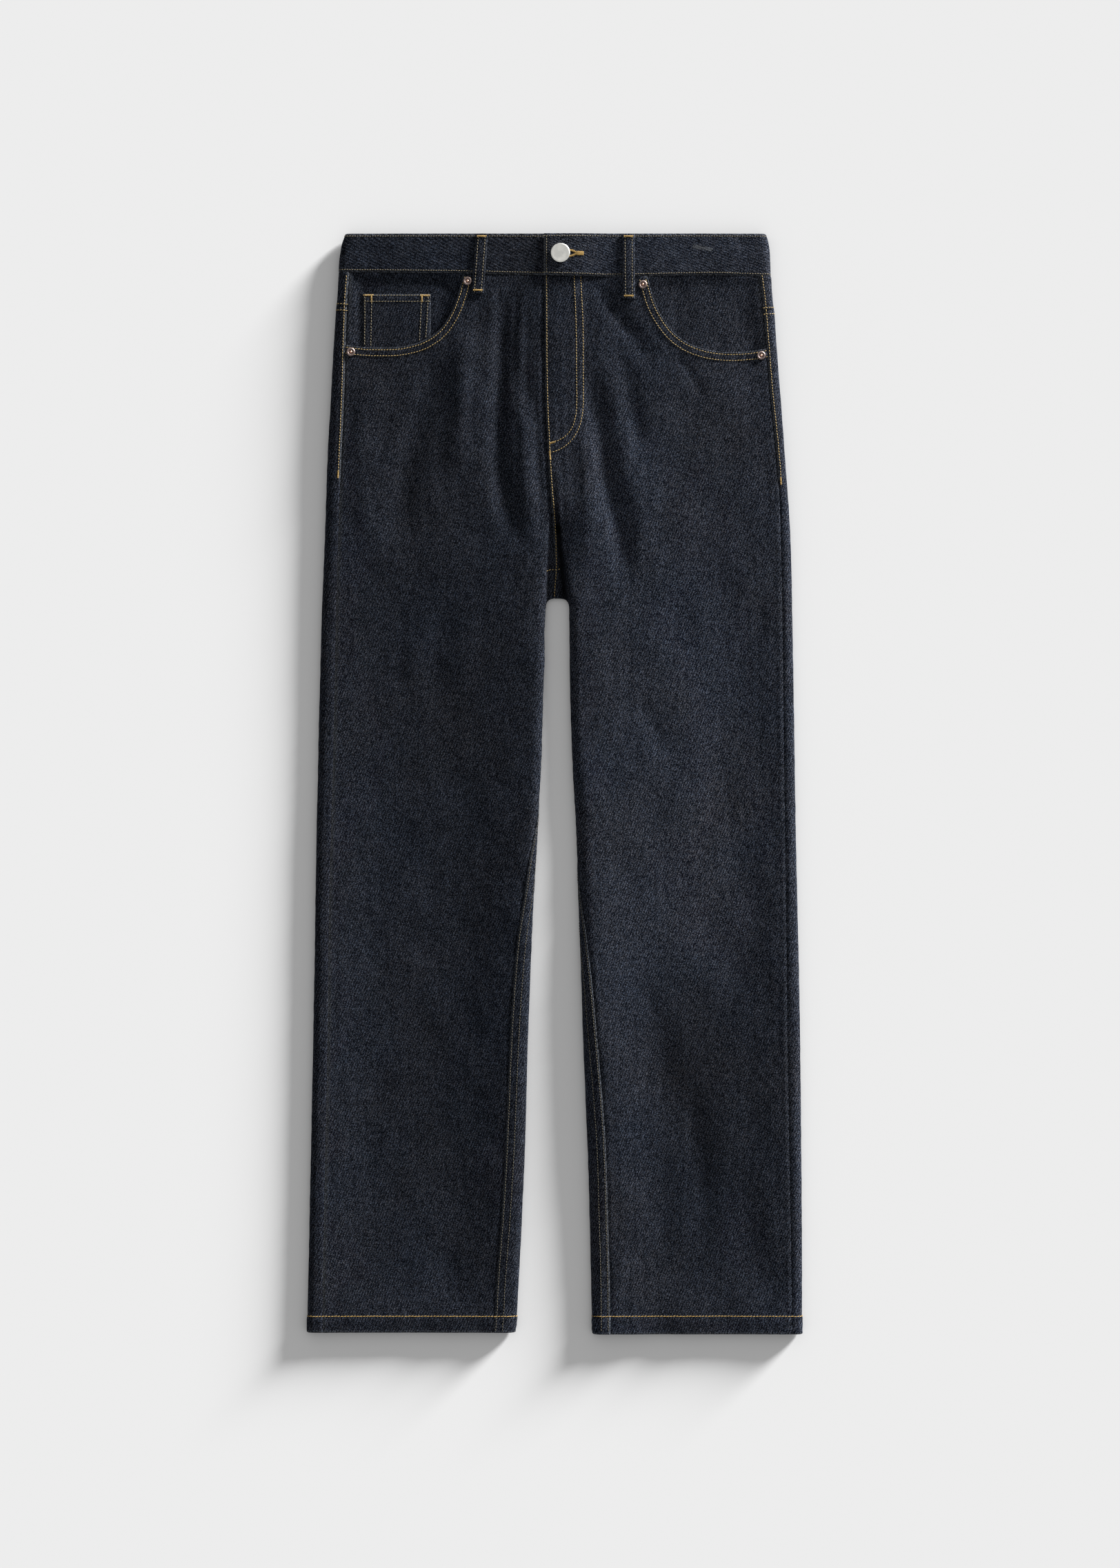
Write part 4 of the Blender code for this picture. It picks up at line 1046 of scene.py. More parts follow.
def loopGround(middle, drops):
    # the highest cloth under a loop, smoothed so that the loop bridges the steps
    ground = []
    for x, drop in zip(middle, drops):
        hits = [topOf(["waistband", *fronts], x + across, max(drop, 1.0)) for across in loopLook["feelers"]]
        ground.append(max(hit[0].z for hit in hits if hit is not None))
    bridge, width = loopLook["bridge"], loopLook["smoothing"]
    lifted = [max(ground[max(row - bridge, 0):row + bridge + 1]) for row in range(len(ground))]
    lifted = np.convolve(np.pad(lifted, width // 2, mode="edge"), np.ones(width) / width, mode="valid")
    return np.maximum(lifted, ground)


def beltLoop(name, layer, topX, lowX, length):
    look, wall = loopLook, loopLook["wall"][layer]
    drops = np.linspace(look["top"], length, int(length / look["step"]))
    middle = topX + (lowX - topX) * drops / length
    across = np.linspace(-0.5, 0.5, look["columns"])[None] * look["width"]
    x = middle[:, None] + across
    rise, size, seed = look["swell"]
    crown = humps(np.abs(across), *look["humps"]) + rise * seamWaves(drops, size, seed)[:, None]
    outward, z = -1.0, np.full(len(drops), look["level"])
    if layer == front:
        arch = look["arch"] * np.sin(math.pi * drops / length)
        outward, z = 1.0, loopGround(middle, drops) + look["clear"] + wall / 2 + arch
        rise, reach, fade = look["turnIn"]
        wall = wall * (1 + lapped(np.minimum(drops, length - drops)[:, None], rise, reach, fade))
    else:
        crown = look["backCrown"] * crown
    grid = np.stack([x, np.broadcast_to(drops[:, None], x.shape), z[:, None] + crown], axis=2)
    wear = humps(np.abs(across), look["wear"])
    return clothPiece(name, grid, outward, wall, grid[..., :2], wear)


fronts = ["frontPanelRight", "frontPanelLeft"]
backs = ["backPanelRight", "backPanelLeft"]
for row in loopPlaces:
    pieces[row[0]] = beltLoop(*row)
print("cloth pieces:", len(pieces))


# ---- materials ----
def addNode(tree, kind, inputs=None, **settings):
    node = tree.nodes.new(kind)
    for key, value in settings.items():
        setattr(node, key, value)
    for key, value in (inputs or {}).items():
        if isinstance(value, bpy.types.NodeSocket):
            tree.links.new(value, node.inputs[key])
        else:
            node.inputs[key].default_value = value
    return node


def outputOf(tree, kind, inputs=None, output=0, **settings):
    return addNode(tree, kind, inputs, **settings).outputs[output]


def calculate(tree, operation, *values, clamp=False):
    return outputOf(tree, "ShaderNodeMath", dict(enumerate(values)), operation=operation, use_clamp=clamp)


def mixColours(tree, factor, first, second, blend="MIX"):
    inputs = {0: factor, 6: first, 7: second}
    return outputOf(tree, "ShaderNodeMix", inputs, 2, data_type="RGBA", blend_type=blend)


def noise(tree, place, scale, detail, roughness=0.5):
    values = {"Vector": place, "Scale": scale, "Detail": detail, "Roughness": roughness}
    return outputOf(tree, "ShaderNodeTexNoise", values, "Fac")


def bumped(tree, shader, height, strength, distance):
    values = {"Height": height, "Strength": strength, "Distance": distance}
    tree.links.new(outputOf(tree, "ShaderNodeBump", values), shader.inputs["Normal"])


def newMaterial(name, **values):
    material = bpy.data.materials.new(name)
    material.use_nodes = True
    shader = material.node_tree.nodes["Principled BSDF"]
    for label, value in values.items():
        shader.inputs[label.replace("_", " ")].default_value = value
    return material, material.node_tree, shader


denimLook = {
    "dark": (0.0010, 0.0016, 0.0034, 1),
    "light": (0.069, 0.078, 0.099, 1),
    "worn": (0.17, 0.18, 0.19, 1),
    "twillPitch": 1.15,  # millimetres across between twill lines
    "yarn": 0.48,
    "dash": 0.64,
    "clump": (1.7, 2.6),
    "fine": (450, 30, 1000),  # slubs and streaks run down the warp
    "broad": (110, 16, 1000),
    "lean": -28.0,  # degrees the twill leans from the warp
    "twill": 0.32,
    "flecks": 1.2,
    "dusk": 0.46,  # the share of every dash that stays dark
    "clumps": 0.1,
    "slubs": 0.36,
    "streaks": 0.22,
    "patch": ((0.86, 0.99, 1.14, 1), (1.16, 1.02, 0.9, 1)),
    "hue": ((0.88, 1.0, 1.13, 1), (1.13, 1.0, 0.88, 1)),
    "rough": (0.82, 0.98),
    "bump": (0.3, 0.00015),
}


def denimMaterial(name, tone):
    look = denimLook
    material, tree, shader = newMaterial(name, Specular_IOR_Level=0.03, Sheen_Weight=0.015, Sheen_Roughness=0.5,
                                         Sheen_Tint=(0.6, 0.7, 0.95, 1))
    grain = outputOf(tree, "ShaderNodeUVMap", uv_map="grain")
    place = outputOf(tree, "ShaderNodeTexCoord", None, "Object")

    def stretched(scale, lean=0.0):
        return outputOf(tree, "ShaderNodeMapping", {
            "Vector": grain, "Rotation": (0, 0, math.radians(lean)), "Scale": scale})

    def voronoi(vector, **more):
        return outputOf(tree, "ShaderNodeTexVoronoi", {"Vector": vector, "Scale": 1.0, **more}, "Color")

    # the twill: slanted lines made of short dashes, each with its own tone
    across = stretched((1000 / look["yarn"], 1000 / look["dash"], 1000), look["lean"])
    cells = addNode(tree, "ShaderNodeSeparateColor", {"Color": voronoi(across, Randomness=0.9)}).outputs
    dash, tint = cells[0], cells[1]
    wide, long = look["clump"]
    clumps = voronoi(stretched((1000 / wide, 1000 / long, 1000), look["lean"]))
    clump = outputOf(tree, "ShaderNodeSeparateColor", {"Color": clumps}, 1)
    twill = outputOf(tree, "ShaderNodeTexWave", {
        "Vector": across, "Scale": math.pi / 20 * look["yarn"] / look["twillPitch"],
        "Distortion": 0.8, "Detail": 2.0}, "Fac")
    fine = noise(tree, stretched(look["fine"]), 1.0, 3.0, 0.6)
    broad = noise(tree, stretched(look["broad"]), 1.0, 3.0, 0.55)
    flecks = calculate(tree, "MULTIPLY", dash, look["flecks"])
    share = calculate(tree, "MULTIPLY_ADD", twill, look["twill"], flecks)
    for value, amount in ((clump, look["clumps"]), (fine, look["slubs"]), (broad, look["streaks"])):
        share = calculate(tree, "ADD", share, calculate(tree, "MULTIPLY_ADD", value, amount, -amount / 2))
    share = calculate(tree, "MAXIMUM", calculate(tree, "SUBTRACT", share, look["dusk"]), 0.0)
    cloth = mixColours(tree, calculate(tree, "POWER", share, 2.0), look["dark"], look["light"])
    # painted light and shade: the fade attribute, scaled by tone, multiplies the cloth's colour
    faded = outputOf(tree, "ShaderNodeAttribute", None, "Fac", attribute_name="fade")
    faded = calculate(tree, "MULTIPLY", faded, tone)
    patches = mixColours(tree, noise(tree, place, 9.0, 3.0), *look["patch"])
    tone = outputOf(tree, "ShaderNodeCombineColor", {0: faded, 1: faded, 2: faded})
    for colour in (patches, mixColours(tree, tint, *look["hue"]), tone):
        cloth = mixColours(tree, 1.0, cloth, colour, "MULTIPLY")
    # pale worn dashes where edges stand up
    worn = outputOf(tree, "ShaderNodeAttribute", None, "Fac", attribute_name="wear")
    pale = calculate(tree, "MULTIPLY_ADD", twill, 0.5, calculate(tree, "MULTIPLY", dash, 0.9))
    worn = calculate(tree, "MULTIPLY", calculate(tree, "MULTIPLY", worn, pale, clamp=True), 0.6)
    tree.links.new(mixColours(tree, worn, cloth, look["worn"]), shader.inputs["Base Color"])
    relief = calculate(tree, "MULTIPLY_ADD", twill, 0.6, calculate(tree, "MULTIPLY", dash, 0.4))
    bumped(tree, shader, relief, *look["bump"])
    low, high = look["rough"]
    rough = outputOf(tree, "ShaderNodeMapRange", {"Value": dash, "To Min": low, "To Max": high})
    tree.links.new(rough, shader.inputs["Roughness"])
    return material


def threadMaterial(name, colour, dull):
    material, tree, shader = newMaterial(name, Roughness=0.55, Sheen_Weight=0.15)
    place = outputOf(tree, "ShaderNodeTexCoord", None, "Object")
    turned = outputOf(tree, "ShaderNodeMapping", {"Vector": place, "Rotation": (0, 0, 0.7)})
    ply = outputOf(tree, "ShaderNodeTexWave", {"Vector": turned, "Scale": 900.0, "Distortion": 1.0}, "Fac")
    patches = noise(tree, place, 260.0, 2.0)
    tone = calculate(tree, "MULTIPLY_ADD", patches, 0.8, calculate(tree, "MULTIPLY", ply, 0.25))
    dark = tuple(channel * dull for channel in colour) + (1,)
    tree.links.new(mixColours(tree, tone, dark, colour + (1,)), shader.inputs["Base Color"])
    bumped(tree, shader, ply, 0.4, 0.0001)
    return material


def metalMaterial(name, light, dark, roughness, scale):
    material, tree, shader = newMaterial(name, Metallic=1.0)
    stains = noise(tree, outputOf(tree, "ShaderNodeTexCoord", None, "Object"), scale, 4.0)
    share = outputOf(tree, "ShaderNodeMapRange", {"Value": stains, "From Min": 0.35, "From Max": 0.7})
    tree.links.new(mixColours(tree, share, light, dark), shader.inputs["Base Color"])
    tree.links.new(calculate(tree, "MULTIPLY_ADD", share, 0.2, roughness), shader.inputs["Roughness"])
    bumped(tree, shader, stains, 0.15, 0.0002)
    return material


denim = denimMaterial("rinsedDenim", 1.0)
# painted light: the waistband's copy of the denim is painted 12% lighter, standing in for the band catching
# light differently across its turned grain
bandDenimPaintedLighter = denimMaterial("bandDenimPaintedLighter", 1.12)
threads = {
    "gold": threadMaterial("goldThread", (0.38, 0.26, 0.08), 0.45),
    "bright": threadMaterial("brightThread", (0.46, 0.28, 0.06), 0.55),
    "pale": threadMaterial("paleThread", (0.17, 0.135, 0.068), 0.45),
    "faded": threadMaterial("fadedThread", (0.105, 0.088, 0.05), 0.45),
    "grey": threadMaterial("greyThread", (0.12, 0.13, 0.135), 0.45),
}
copper = metalMaterial("agedCopper", (0.34, 0.265, 0.24, 1), (0.12, 0.09, 0.085, 1), 0.42, 900.0)
brightCopper = metalMaterial("rubbedCopper", (0.85, 0.52, 0.38, 1), (0.55, 0.30, 0.22, 1), 0.25, 700.0)
silver = metalMaterial("paleSilver", (0.96, 0.95, 0.90, 1), (0.86, 0.85, 0.80, 1), 0.3, 160.0)

for name, piece in pieces.items():
    piece["object"].data.materials.append(bandDenimPaintedLighter if name == "waistband" else denim)


# ---- stitches ----
def nodeGroup(name, output, sockets):
    tree = bpy.data.node_groups.new(name, "GeometryNodeTree")
    for label, kind in sockets.items():
        tree.interface.new_socket(label, in_out="INPUT", socket_type="NodeSocket" + kind)
    tree.interface.new_socket(output, in_out="OUTPUT", socket_type="NodeSocketGeometry")
    return tree, tree.nodes.new("NodeGroupInput").outputs


def stitchTree():
    tree, given = nodeGroup("stitchRows", "Stitches", {
        "Rows": "Geometry", "Pitch": "Float", "Length": "Float", "Thickness": "Float", "Slant": "Float",
        "Wander": "Float", "Sideways": "Float", "Seed": "Int", "Thread": "Material"})

    def out(kind, inputs=None, output=0, **settings):
        return outputOf(tree, kind, inputs, output, **settings)

    def chance(low, high, seed):
        return out("FunctionNodeRandomValue", {2: low, 3: high, "Seed": seed}, 1, data_type="FLOAT")

    curve = out("GeometryNodeMeshToCurve", {"Mesh": given["Rows"]})
    spaced = out("GeometryNodeResampleCurve", {"Curve": curve, "Length": given["Pitch"]}, mode="LENGTH")
    tangent = out("GeometryNodeInputTangent")
    away = out("GeometryNodeInputNamedAttribute", {"Name": "away"}, data_type="FLOAT_VECTOR")
    # each stitch lies along its row, stands off the cloth and leans a little
    along = out("FunctionNodeAlignRotationToVector", {"Vector": tangent}, axis="X")
    stood = out("FunctionNodeAlignRotationToVector", {"Rotation": along, "Vector": away},
                axis="Z", pivot_axis="X")
    swing = chance(calculate(tree, "SUBTRACT", 0.0, given["Wander"]), given["Wander"], given["Seed"])
    lean = out("ShaderNodeCombineXYZ", {"Z": calculate(tree, "ADD", swing, given["Slant"])})
    leaned = out("FunctionNodeRotateRotation", {"Rotation": stood, "Rotate By": lean}, rotation_space="LOCAL")
    longer = calculate(tree, "MULTIPLY", given["Length"], chance(*stitchLook["lengths"], 7))
    size = out("ShaderNodeCombineXYZ", {"X": longer, "Y": given["Thickness"], "Z": given["Thickness"]})
    bead = out("GeometryNodeMeshUVSphere", {"Segments": 6, "Rings": 4, "Radius": 0.5})
    laid = out("GeometryNodeTransform", {"Geometry": bead, "Rotation": (0, math.pi / 2, 0)})
    drift = calculate(tree, "MULTIPLY", chance(-1.0, 1.0, 19), given["Sideways"])
    across = out("ShaderNodeVectorMath", {0: tangent, 1: away}, operation="CROSS_PRODUCT")
    shift = out("ShaderNodeVectorMath", {0: across, "Scale": drift}, operation="SCALE")
    moved = out("GeometryNodeSetPosition", {"Geometry": spaced, "Offset": shift})
    sewing = out("GeometryNodeInstanceOnPoints", {
        "Points": moved, "Instance": laid, "Rotation": leaned, "Scale": size})
    soft = out("GeometryNodeSetShadeSmooth", {0: out("GeometryNodeRealizeInstances", {"Geometry": sewing})})
    dyed = out("GeometryNodeSetMaterial", {"Geometry": soft, "Material": given["Thread"]})
    addNode(tree, "NodeGroupOutput", {"Stitches": dyed})
    return tree


def rowMesh(name, points, edges, away):
    mesh = bpy.data.meshes.new(name)
    mesh.from_pydata(points.tolist(), edges, [])
    outward = mesh.attributes.new("away", "FLOAT_VECTOR", "POINT")
    outward.data.foreach_set("vector", away.astype(np.float32).ravel())
    return mesh


def grown(name, mesh, tree, values):
    # runs a node tree on a mesh and keeps the result as a plain mesh at the origin
    maker = placed(name + "Maker", mesh)
    modifier = maker.modifiers.new("maker", "NODES")
    modifier.node_group = tree
    for item in tree.interface.items_tree:
        if item.item_type == "SOCKET" and item.in_out == "INPUT" and item.name in values:
            modifier[item.identifier] = values[item.name]
    bpy.context.view_layer.update()
    result = bpy.data.meshes.new_from_object(maker.evaluated_get(bpy.context.evaluated_depsgraph_get()))
    result.name = name
    bpy.data.objects.remove(maker)
    return placed(name, result)


stitchLook = {  # metres and radians
    "panel": {"Pitch": 0.0028, "Length": 0.0023, "Thickness": 0.00082, "Slant": 0.2, "Wander": 0.1, "Seed": 3},
    "band": {"Pitch": 0.0025, "Length": 0.0020, "Thickness": 0.0008, "Slant": 0.3, "Wander": 0.15, "Seed": 4},
    "hem": {"Pitch": 0.0031, "Length": 0.0034, "Thickness": 0.00075, "Slant": 0.22, "Wander": 0.06, "Seed": 5},
    "tack": {"Pitch": 0.00042, "Length": 0.0019, "Thickness": 0.0005, "Slant": 1.45, "Wander": 0.16,
             "Sideways": 0.0, "Seed": 6},
    "sideways": 0.00012,
    "lengths": (0.82, 1.12),
    "lift": 0.1,  # millimetres off the cloth
}
stitchRows = stitchTree()
sewn = {}


def sew(name, thread, rows, kind="panel", **changes):
    # rows are (points, outward directions)
    values = {"Sideways": stitchLook["sideways"], **stitchLook[kind], **changes}
    points = np.concatenate([toWorld(points) for points, _ in rows])
    points[:, 2] = np.maximum(points[:, 2], (form["rest"] * mm) + values["Thickness"] / 2)
    away = np.concatenate([away * (1, -1, 1) for _, away in rows])
    edges, start = [], 0
    for line, _ in rows:
        edges += [(start + i, start + i + 1) for i in range(len(line) - 1)]
        start += len(line)
    values["Thread"] = threads[thread]
    sewn[name] = grown(name, rowMesh(name, points, edges, unit(away)), stitchRows, values)


def onTop(names, points, lift=stitchLook["lift"], step=1.0):
    # a row laid on whatever shows from above
    line = smoothLine(points, 80) if len(points) > 2 else np.array(points, float)
    spots, away = [], []
    for x, drop in evenPoints(line, max(int(lengthsOf(line)[-1] / step), 2)):
        hit = topOf(names, x, drop)
        if hit is None:
            continue
        normal = np.array(hit[1]) * (1 if hit[1].z > 0 else -1)
        spots.append(np.array(hit[0]) + normal * lift)
        away.append(normal)
    return np.array(spots), np.array(away)


def insetSpots(lines, inset, lift=stitchLook["lift"]):
    # a row a set distance in from the starts of many lines, each (points, normals, wall)
    spots, away = [], []
    for line, face, wall in lines:
        run = lengthsOf(line)
        normal = unit(np.array([np.interp(inset, run, face[:, axis]) for axis in range(3)]))
        spots.append(pointsAt(line, [inset])[0] + normal * (wall / 2 + lift))
        away.append(normal)
    return np.array(spots), np.array(away)


def besideEdge(name, inset, fromDrop, toDrop, atEnd=False, lift=stitchLook["lift"]):
    # a row at a set distance from a panel's long edge
    way = slice(None, None, -1 if atEnd else 1)
    rows = zip(*(pieces[name][part] for part in ("grid", "normals", "wall")))
    lines = [(line[way], face[way], wall[0]) for line, face, wall in rows
             if fromDrop <= line[way][0, 1] <= toDrop]
    return insetSpots(lines, inset, lift)


def besideRow(name, inset, atFoot=False):
    # a row at a set distance from a piece's first or last grid row
    piece, way = pieces[name], slice(None, None, -1 if atFoot else 1)
    grid, normals, wall = piece["grid"], piece["normals"], piece["wall"][len(piece["grid"]) // 2]
    return insetSpots([(grid[way, i], normals[way, i], wall[i]) for i in range(grid.shape[1])], inset)


def onGrid(name, place, lift=stitchLook["lift"]):
    # a row along some of a piece's own grid points
    grid, normals, wall = (pieces[name][part][place] for part in ("grid", "normals", "wall"))
    return grid + normals * (wall[:, None] / 2 + lift), normals


def mouthRow(side, inset):
    line = smoothLine(mouths[side], 120)
    ahead = unit(np.gradient(line, axis=0))
    row = line + np.stack([-ahead[:, 1], ahead[:, 0]], axis=1) * -sign[side] * inset
    x, drop = row.T
    fromBand, fromSeam = drop - bandDrop(x), sign[side] * (smooth(sideSeams, side, drop) - x)
    clear = (fromBand > rowLook["mouthClear"][0]) & (fromSeam > rowLook["mouthClear"][1])
    return onTop(["frontPanel" + side.title()], row[clear])


def hemRow(name):
    row = int(np.argmin(np.abs(pieces[name]["grid"][:, 4, 1] - panel["hemStitch"])))
    return onGrid(name, row)


rowLook = {
    "mouth": (2.0, 7.8),
    "mouthClear": (4.0, 1.0),  # a row ends this far from the waistband and from the side seam
    "flyInner": ((19.3, 41.5), (21.1, 87.4), (21.6, 130.0), (21.6, 172.7), (18.8, 186.8), (13.4, 196.2),
                 (5.6, 202.3), (-4.9, 205.7)),
    "flyOuter": ((25.8, 43.2), (27.9, 87.4), (28.2, 130.0), (27.9, 172.4), (24.3, 189.9), (16.5, 203.2),
                 (5.6, 211.8), (-4.0, 214.9)),
    "rise": (41.5, 356.0, 2.0),
    "riseInset": 1.7,
    "riseFade": (300.0, 60.0),
    "crotch": ((-7.5, 331.5), (-3.5, 330.0), (1.0, 330.2), (4.5, 329.6)),
    "coinAcross": (60.4, 66.3),
    "coinInset": 1.5,
    "coinDown": ((-186.6, -187.0, 108), (-179.9, -180.9, 109), (-130.7, -132.9, 104), (-124.2, -126.6, 101)),
    "hip": (2.1, 41),
    "hipFoot": {right: 240, left: 246},
    "yoke": (2.4, 3.2),
    "seat": (2.0, 104, 352),
    "inseam": (1.6, 8.2),
    "leg": (376, 1080),
    "dashes": (0.5, 243, 1080),
    "band": (2.3, 2.2),
    "loopColumns": (2, 8),
    "coinTacks": (((-188, 60.2), (-178.5, 60.0)), ((-132, 60.2), (-122.8, 60.4)),
                  ((-180.2, 59.8), (-180.2, 67)), ((-130.6, 59.8), (-130.6, 67))),
    "flyTacks": (((-4.6, 205.9), (0.5, 204.6)), ((-4.9, 214.0), (-4.0, 222.0))),
    "hipTacks": (((-212.9, 233.0), (-213.2, 240.0)), ((222.6, 239.5), (222.9, 246.5))),
    "tackLift": 0.15,
    "tackStep": 0.5,
    "loopLift": 0.08,
    "eyelet": ((12.0, 16.4), (16.0, 16.5), (19.0, 17.5), (21.6, 19.3), (19.0, 21.1), (16.0, 22.1),
               (12.0, 22.3)),
    "eyeletLift": (0.2, 0.25),
    "eyeletTack": ((22.0, 19.4), (28.4, 19.5)),
    "eyeletOffsets": (-1.1, 0.0, 1.1),
}
sew("pocketStitches", "gold", [mouthRow(side, inset) for side in sides for inset in rowLook["mouth"]])

riseDrops = np.arange(*rowLook["rise"])
fadeStart, fadeLength = rowLook["riseFade"]
riseInsets = rowLook["riseInset"] * (1 - np.maximum(riseDrops - fadeStart, 0) / fadeLength)
riseLine = np.stack([smooth(frontRise, "middle", riseDrops) + riseInsets, riseDrops], axis=1)
flyRows = [onTop(["frontPanelLeft"], rowLook[row]) for row in ("flyInner", "flyOuter")]
sew("flyStitches", "gold", flyRows + [onTop(fronts, line) for line in (riseLine, rowLook["crotch"])])

coinEnds = (coin["left"] + rowLook["coinInset"], coin["right"] - rowLook["coinInset"])
coinLines = [[(x, drop) for x in coinEnds] for drop in rowLook["coinAcross"]]
coinLines += [((topX, 60.0), (lowX, low)) for topX, lowX, low in rowLook["coinDown"]]
sew("coinStitches", "pale", [onTop(["coinPocket"], line) for line in coinLines])

inset, top = rowLook["hip"]
sew("hipStitches", "gold", [besideEdge(name + side.title(), inset, top, rowLook["hipFoot"][side])
                            for side in sides for name in ("backYoke", "backPanel")])
above, below = rowLook["yoke"]
sew("yokeStitches", "gold", [row for side in sides for row in (
    besideRow("backYoke" + side.title(), above, True), besideRow("backPanel" + side.title(), below))])
sew("seatStitches", "gold", [besideEdge(name, *rowLook["seat"], True) for name in backs])
sew("inseamStitches", "faded", [besideEdge(name, inset, *rowLook["leg"], True)
                                for name in backs for inset in rowLook["inseam"]], Thickness=0.0006)
# the right side seam, pressed open, shows a little of its thread
sew("seamDashes", "grey", [besideEdge("frontPanelRight", *rowLook["dashes"], False, -0.1)],
    Pitch=0.0017, Length=0.0009, Thickness=0.0004, Slant=0.7)
hemRows = [hemRow(name + side.title()) for side in sides for name in ("frontPanel", "backPanel")]
sew("hemStitches", "bright", hemRows, "hem")
topInset, lowInset = rowLook["band"]
sew("bandStitches", "pale", [besideRow("waistband", topInset), besideRow("waistband", lowInset, True),
                             onGrid("waistband", (slice(2, -2), 1))], "band")

# belt loops: two lengthwise rows and a bartack at each end
sew("loopStitches", "pale", [onGrid(row[0], (slice(3, -2), column), rowLook["loopLift"])
                             for row in loopPlaces for column in rowLook["loopColumns"]])
lift, step = rowLook["tackLift"], rowLook["tackStep"]
tackRows = [onGrid(row[0], (place, slice(1, -1)), lift) for row in loopPlaces for place in (2, -4)]
tackRows += [onTop(["coinPocket"], line, lift, step) for line in rowLook["coinTacks"]]
tackRows += [onTop(["frontPanelLeft"], line, step=step) for line in rowLook["flyTacks"]]
tackRows += [onTop(backs, line, lift, step) for line in rowLook["hipTacks"]]
sew("bartacks", "bright", tackRows, "tack")

holeLift, barLift = rowLook["eyeletLift"]
holeRows = [onTop(["waistband"], rowLook["eyelet"], holeLift, step)]
for offset in rowLook["eyeletOffsets"]:
    bar = [(x, drop + offset) for x, drop in rowLook["eyeletTack"]]
    holeRows.append(onTop(["waistband"], bar, barLift, step))
sew("buttonholeThread", "bright", holeRows, "tack", Pitch=0.0005, Length=0.0023)
print("rows sewn:", len(sewn))


# ---- metal fittings ----
def turnedMesh(name, profile, steps):
    # a round piece from (radius, height) points, from its top centre to its foot
    turns = 2 * math.pi * np.arange(steps) / steps
    ring = np.stack([np.cos(turns), np.sin(turns), np.ones(steps)], axis=1)
    rings = [ring * (radius, radius, height) for radius, height in profile[1:-1]]
    points = np.concatenate([[(0, 0, profile[0][1])], *rings, [(0, 0, profile[-1][1])]])
    faces = []
    for step in range(steps):
        beside = (step + 1) % steps
        faces.append((0, 1 + step, 1 + beside))
        for start in range(1, 1 + (len(rings) - 1) * steps, steps):
            faces.append((start + beside, start + step, start + steps + step, start + steps + beside))
        last = 1 + (len(rings) - 1) * steps
        faces.append((last + beside, last + step, len(points) - 1))
    mesh = bpy.data.meshes.new(name)
    mesh.from_pydata((points * mm).tolist(), [], faces)
    mesh.shade_smooth()
    return mesh


def capTree():
    tree, given = nodeGroup("setRivets", "Rivets", {
        "Places": "Geometry", "Cap": "Object", "Size": "Float", "Finish": "Material"})
    away = outputOf(tree, "GeometryNodeInputNamedAttribute", {"Name": "away"}, data_type="FLOAT_VECTOR")
    stood = outputOf(tree, "FunctionNodeAlignRotationToVector", {"Vector": away}, axis="Z")
    cap = outputOf(tree, "GeometryNodeObjectInfo", {"Object": given["Cap"]}, "Geometry")
    put = outputOf(tree, "GeometryNodeInstanceOnPoints", {
        "Points": given["Places"], "Instance": cap, "Rotation": stood, "Scale": given["Size"]})
    real = outputOf(tree, "GeometryNodeRealizeInstances", {"Geometry": put})
    dyed = outputOf(tree, "GeometryNodeSetMaterial", {"Geometry": real, "Material": given["Finish"]})
    addNode(tree, "NodeGroupOutput", {"Rivets": dyed})
    return tree


rivetNodes = ["rivet_right_inner", "rivet_right_outer", "rivet_left_inner", "rivet_left_outer"]
rivetLook = {
    "ring": ((0, 0.3), (1.9, 0.3), (2.1, 0.4), (2.35, 0.85), (2.9, 1.2), (3.5, 1.2), (4.0, 0.9), (4.3, 0.45),
             (4.3, 0.0), (0, 0.0)),
    "nub": ((0, 1.45), (0.6, 1.38), (1.05, 1.1), (1.3, 0.7), (1.35, 0.2), (0, 0.2)),
    "steps": 28,
    "lift": 0.05,
    "upright": 1.5,  # how far a rivet evens out the cloth's slope
}
buttonLook = {
    "profile": ((0, 2.5), (4.0, 2.5), (7.6, 2.42), (8.2, 2.5), (8.9, 2.42), (9.35, 2.1), (9.5, 1.6), (9.2, 1.1),
                (6.5, 0.75), (3.6, 0.6), (3.4, -0.4), (0, -0.5)),
    "steps": 72,
    "lift": 0.1,
}
rivetTree = capTree()


def setRivets(name, part, finish):
    spots, away = [], []
    for node in rivetNodes:
        low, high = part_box(node)
        middle = (low + high) / 2 / mm
        drop = form["length"] / 2 - middle.y
        place, normal, _, _ = topOf(pieces, middle.x, drop)
        normal = Vector((normal.x, -normal.y, normal.z)) * (1 if normal.z > 0 else -1)
        spots.append((middle.x, drop, place.z + rivetLook["lift"]))
        away.append((normal + Vector((0, 0, rivetLook["upright"]))).normalized())
    cap = placed(name + "Cap", turnedMesh(name + "Cap", rivetLook[part], rivetLook["steps"]))
    mesh = rowMesh(name, toWorld(np.array(spots)), [], np.array(away))
    piece = grown(name, mesh, rivetTree, {"Cap": cap, "Size": 1.0, "Finish": finish})
    bpy.data.objects.remove(cap)
    return piece


def setButton():
    low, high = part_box("waist_button")
    mesh = turnedMesh("waistButton", buttonLook["profile"], buttonLook["steps"])
    middle = (low + high) / 2
    for vertex in mesh.vertices:
        vertex.co += Vector((middle.x, middle.y, low.z + buttonLook["lift"] * mm))
    mesh.materials.append(silver)
    return placed("waistButton", mesh)


rivetRings = setRivets("rivetRings", "ring", copper)
rivetNubs = setRivets("rivetNubs", "nub", brightCopper)
waistButton = setButton()
print("fittings set")

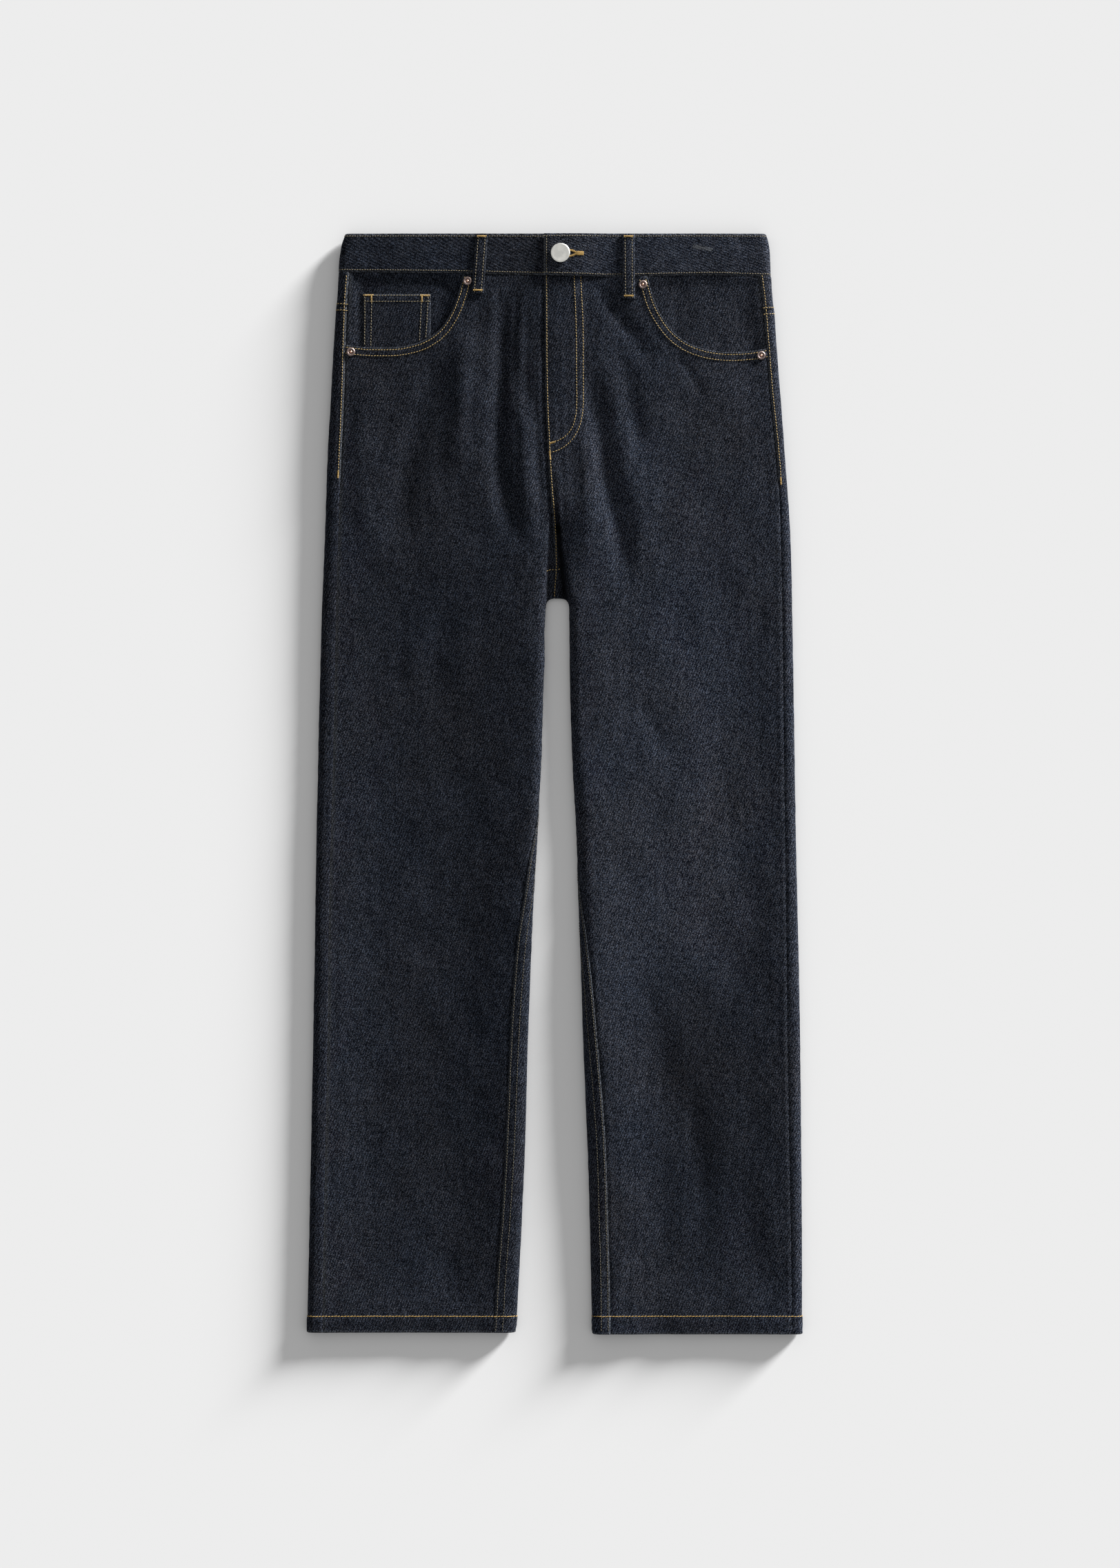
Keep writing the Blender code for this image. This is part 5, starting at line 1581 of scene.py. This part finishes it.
# ---- what each piece stands for ----
for name, piece in pieces.items():
    body = piece["object"]
    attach(body, "root")
    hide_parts("".join("_" + letter.lower() if letter.isupper() else letter for letter in name))
for piece in sewn.values():
    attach(piece, "root")
for piece, slot in ((rivetRings, "copper"), (rivetNubs, "copper"), (waistButton, "silver")):
    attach(piece, "root")
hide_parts(*rivetNodes)
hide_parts("waist_button")

# ---- floor, light and camera ----
studio = {
    "floor": (0.80, 0.80, 0.80, 1),
    "floorHalf": 40.0,
    "keyPower": 12.3,
    "keyAngle": 12.0,
    "fill": 0.445,
    "backdrop": 0.847,
    "keyFrom": (46.0, 9.0),  # degrees round from the waist towards the wearer's left, and up
    "lens": 85.0,
    "frameLong": 1.546,
    "cameraX": 0.0054,
    "cameraOff": 0.005,
}


def makeStudio():
    half = studio["floorHalf"]
    mesh = bpy.data.meshes.new("floor")
    corners = [(-half, -half, 0), (half, -half, 0), (half, half, 0), (-half, half, 0)]
    mesh.from_pydata(corners, [], [(0, 1, 2, 3)])
    look = {"Base_Color": studio["floor"], "Roughness": 0.95, "Specular_IOR_Level": 0.0}
    mesh.materials.append(newMaterial("paleFloor", **look)[0])
    placed("floor", mesh)
    key = placed("key", bpy.data.lights.new("key", "SUN"))
    key.data.energy = studio["keyPower"]
    key.data.angle = math.radians(studio["keyAngle"])
    azimuth, elevation = (math.radians(angle) for angle in studio["keyFrom"])
    away = math.cos(elevation)
    toward = Vector((math.sin(azimuth) * away, math.cos(azimuth) * away, math.sin(elevation)))
    key.rotation_mode = "QUATERNION"
    key.rotation_quaternion = toward.to_track_quat("Z", "Y")
    world = bpy.data.worlds.new("studio")
    bpy.context.scene.world = world
    world.use_nodes = True
    tree = world.node_tree
    background = tree.nodes["Background"]
    seen = outputOf(tree, "ShaderNodeLightPath", None, "Is Camera Ray")
    strength = outputOf(tree, "ShaderNodeMapRange", {
        "Value": seen, "To Min": studio["fill"], "To Max": studio["backdrop"]})
    tree.links.new(strength, background.inputs["Strength"])
    background.inputs["Color"].default_value = (1.0, 1.0, 1.0, 1)
    camera = placed("camera", bpy.data.cameras.new("camera"))
    camera.data.lens = studio["lens"]
    distance = studio["frameLong"] * studio["lens"] / camera.data.sensor_width
    camera.location = (studio["cameraX"], 0.0, distance + studio["cameraOff"])
    bpy.context.scene.camera = camera
    bpy.context.scene.view_settings.view_transform = "Standard"


makeStudio()
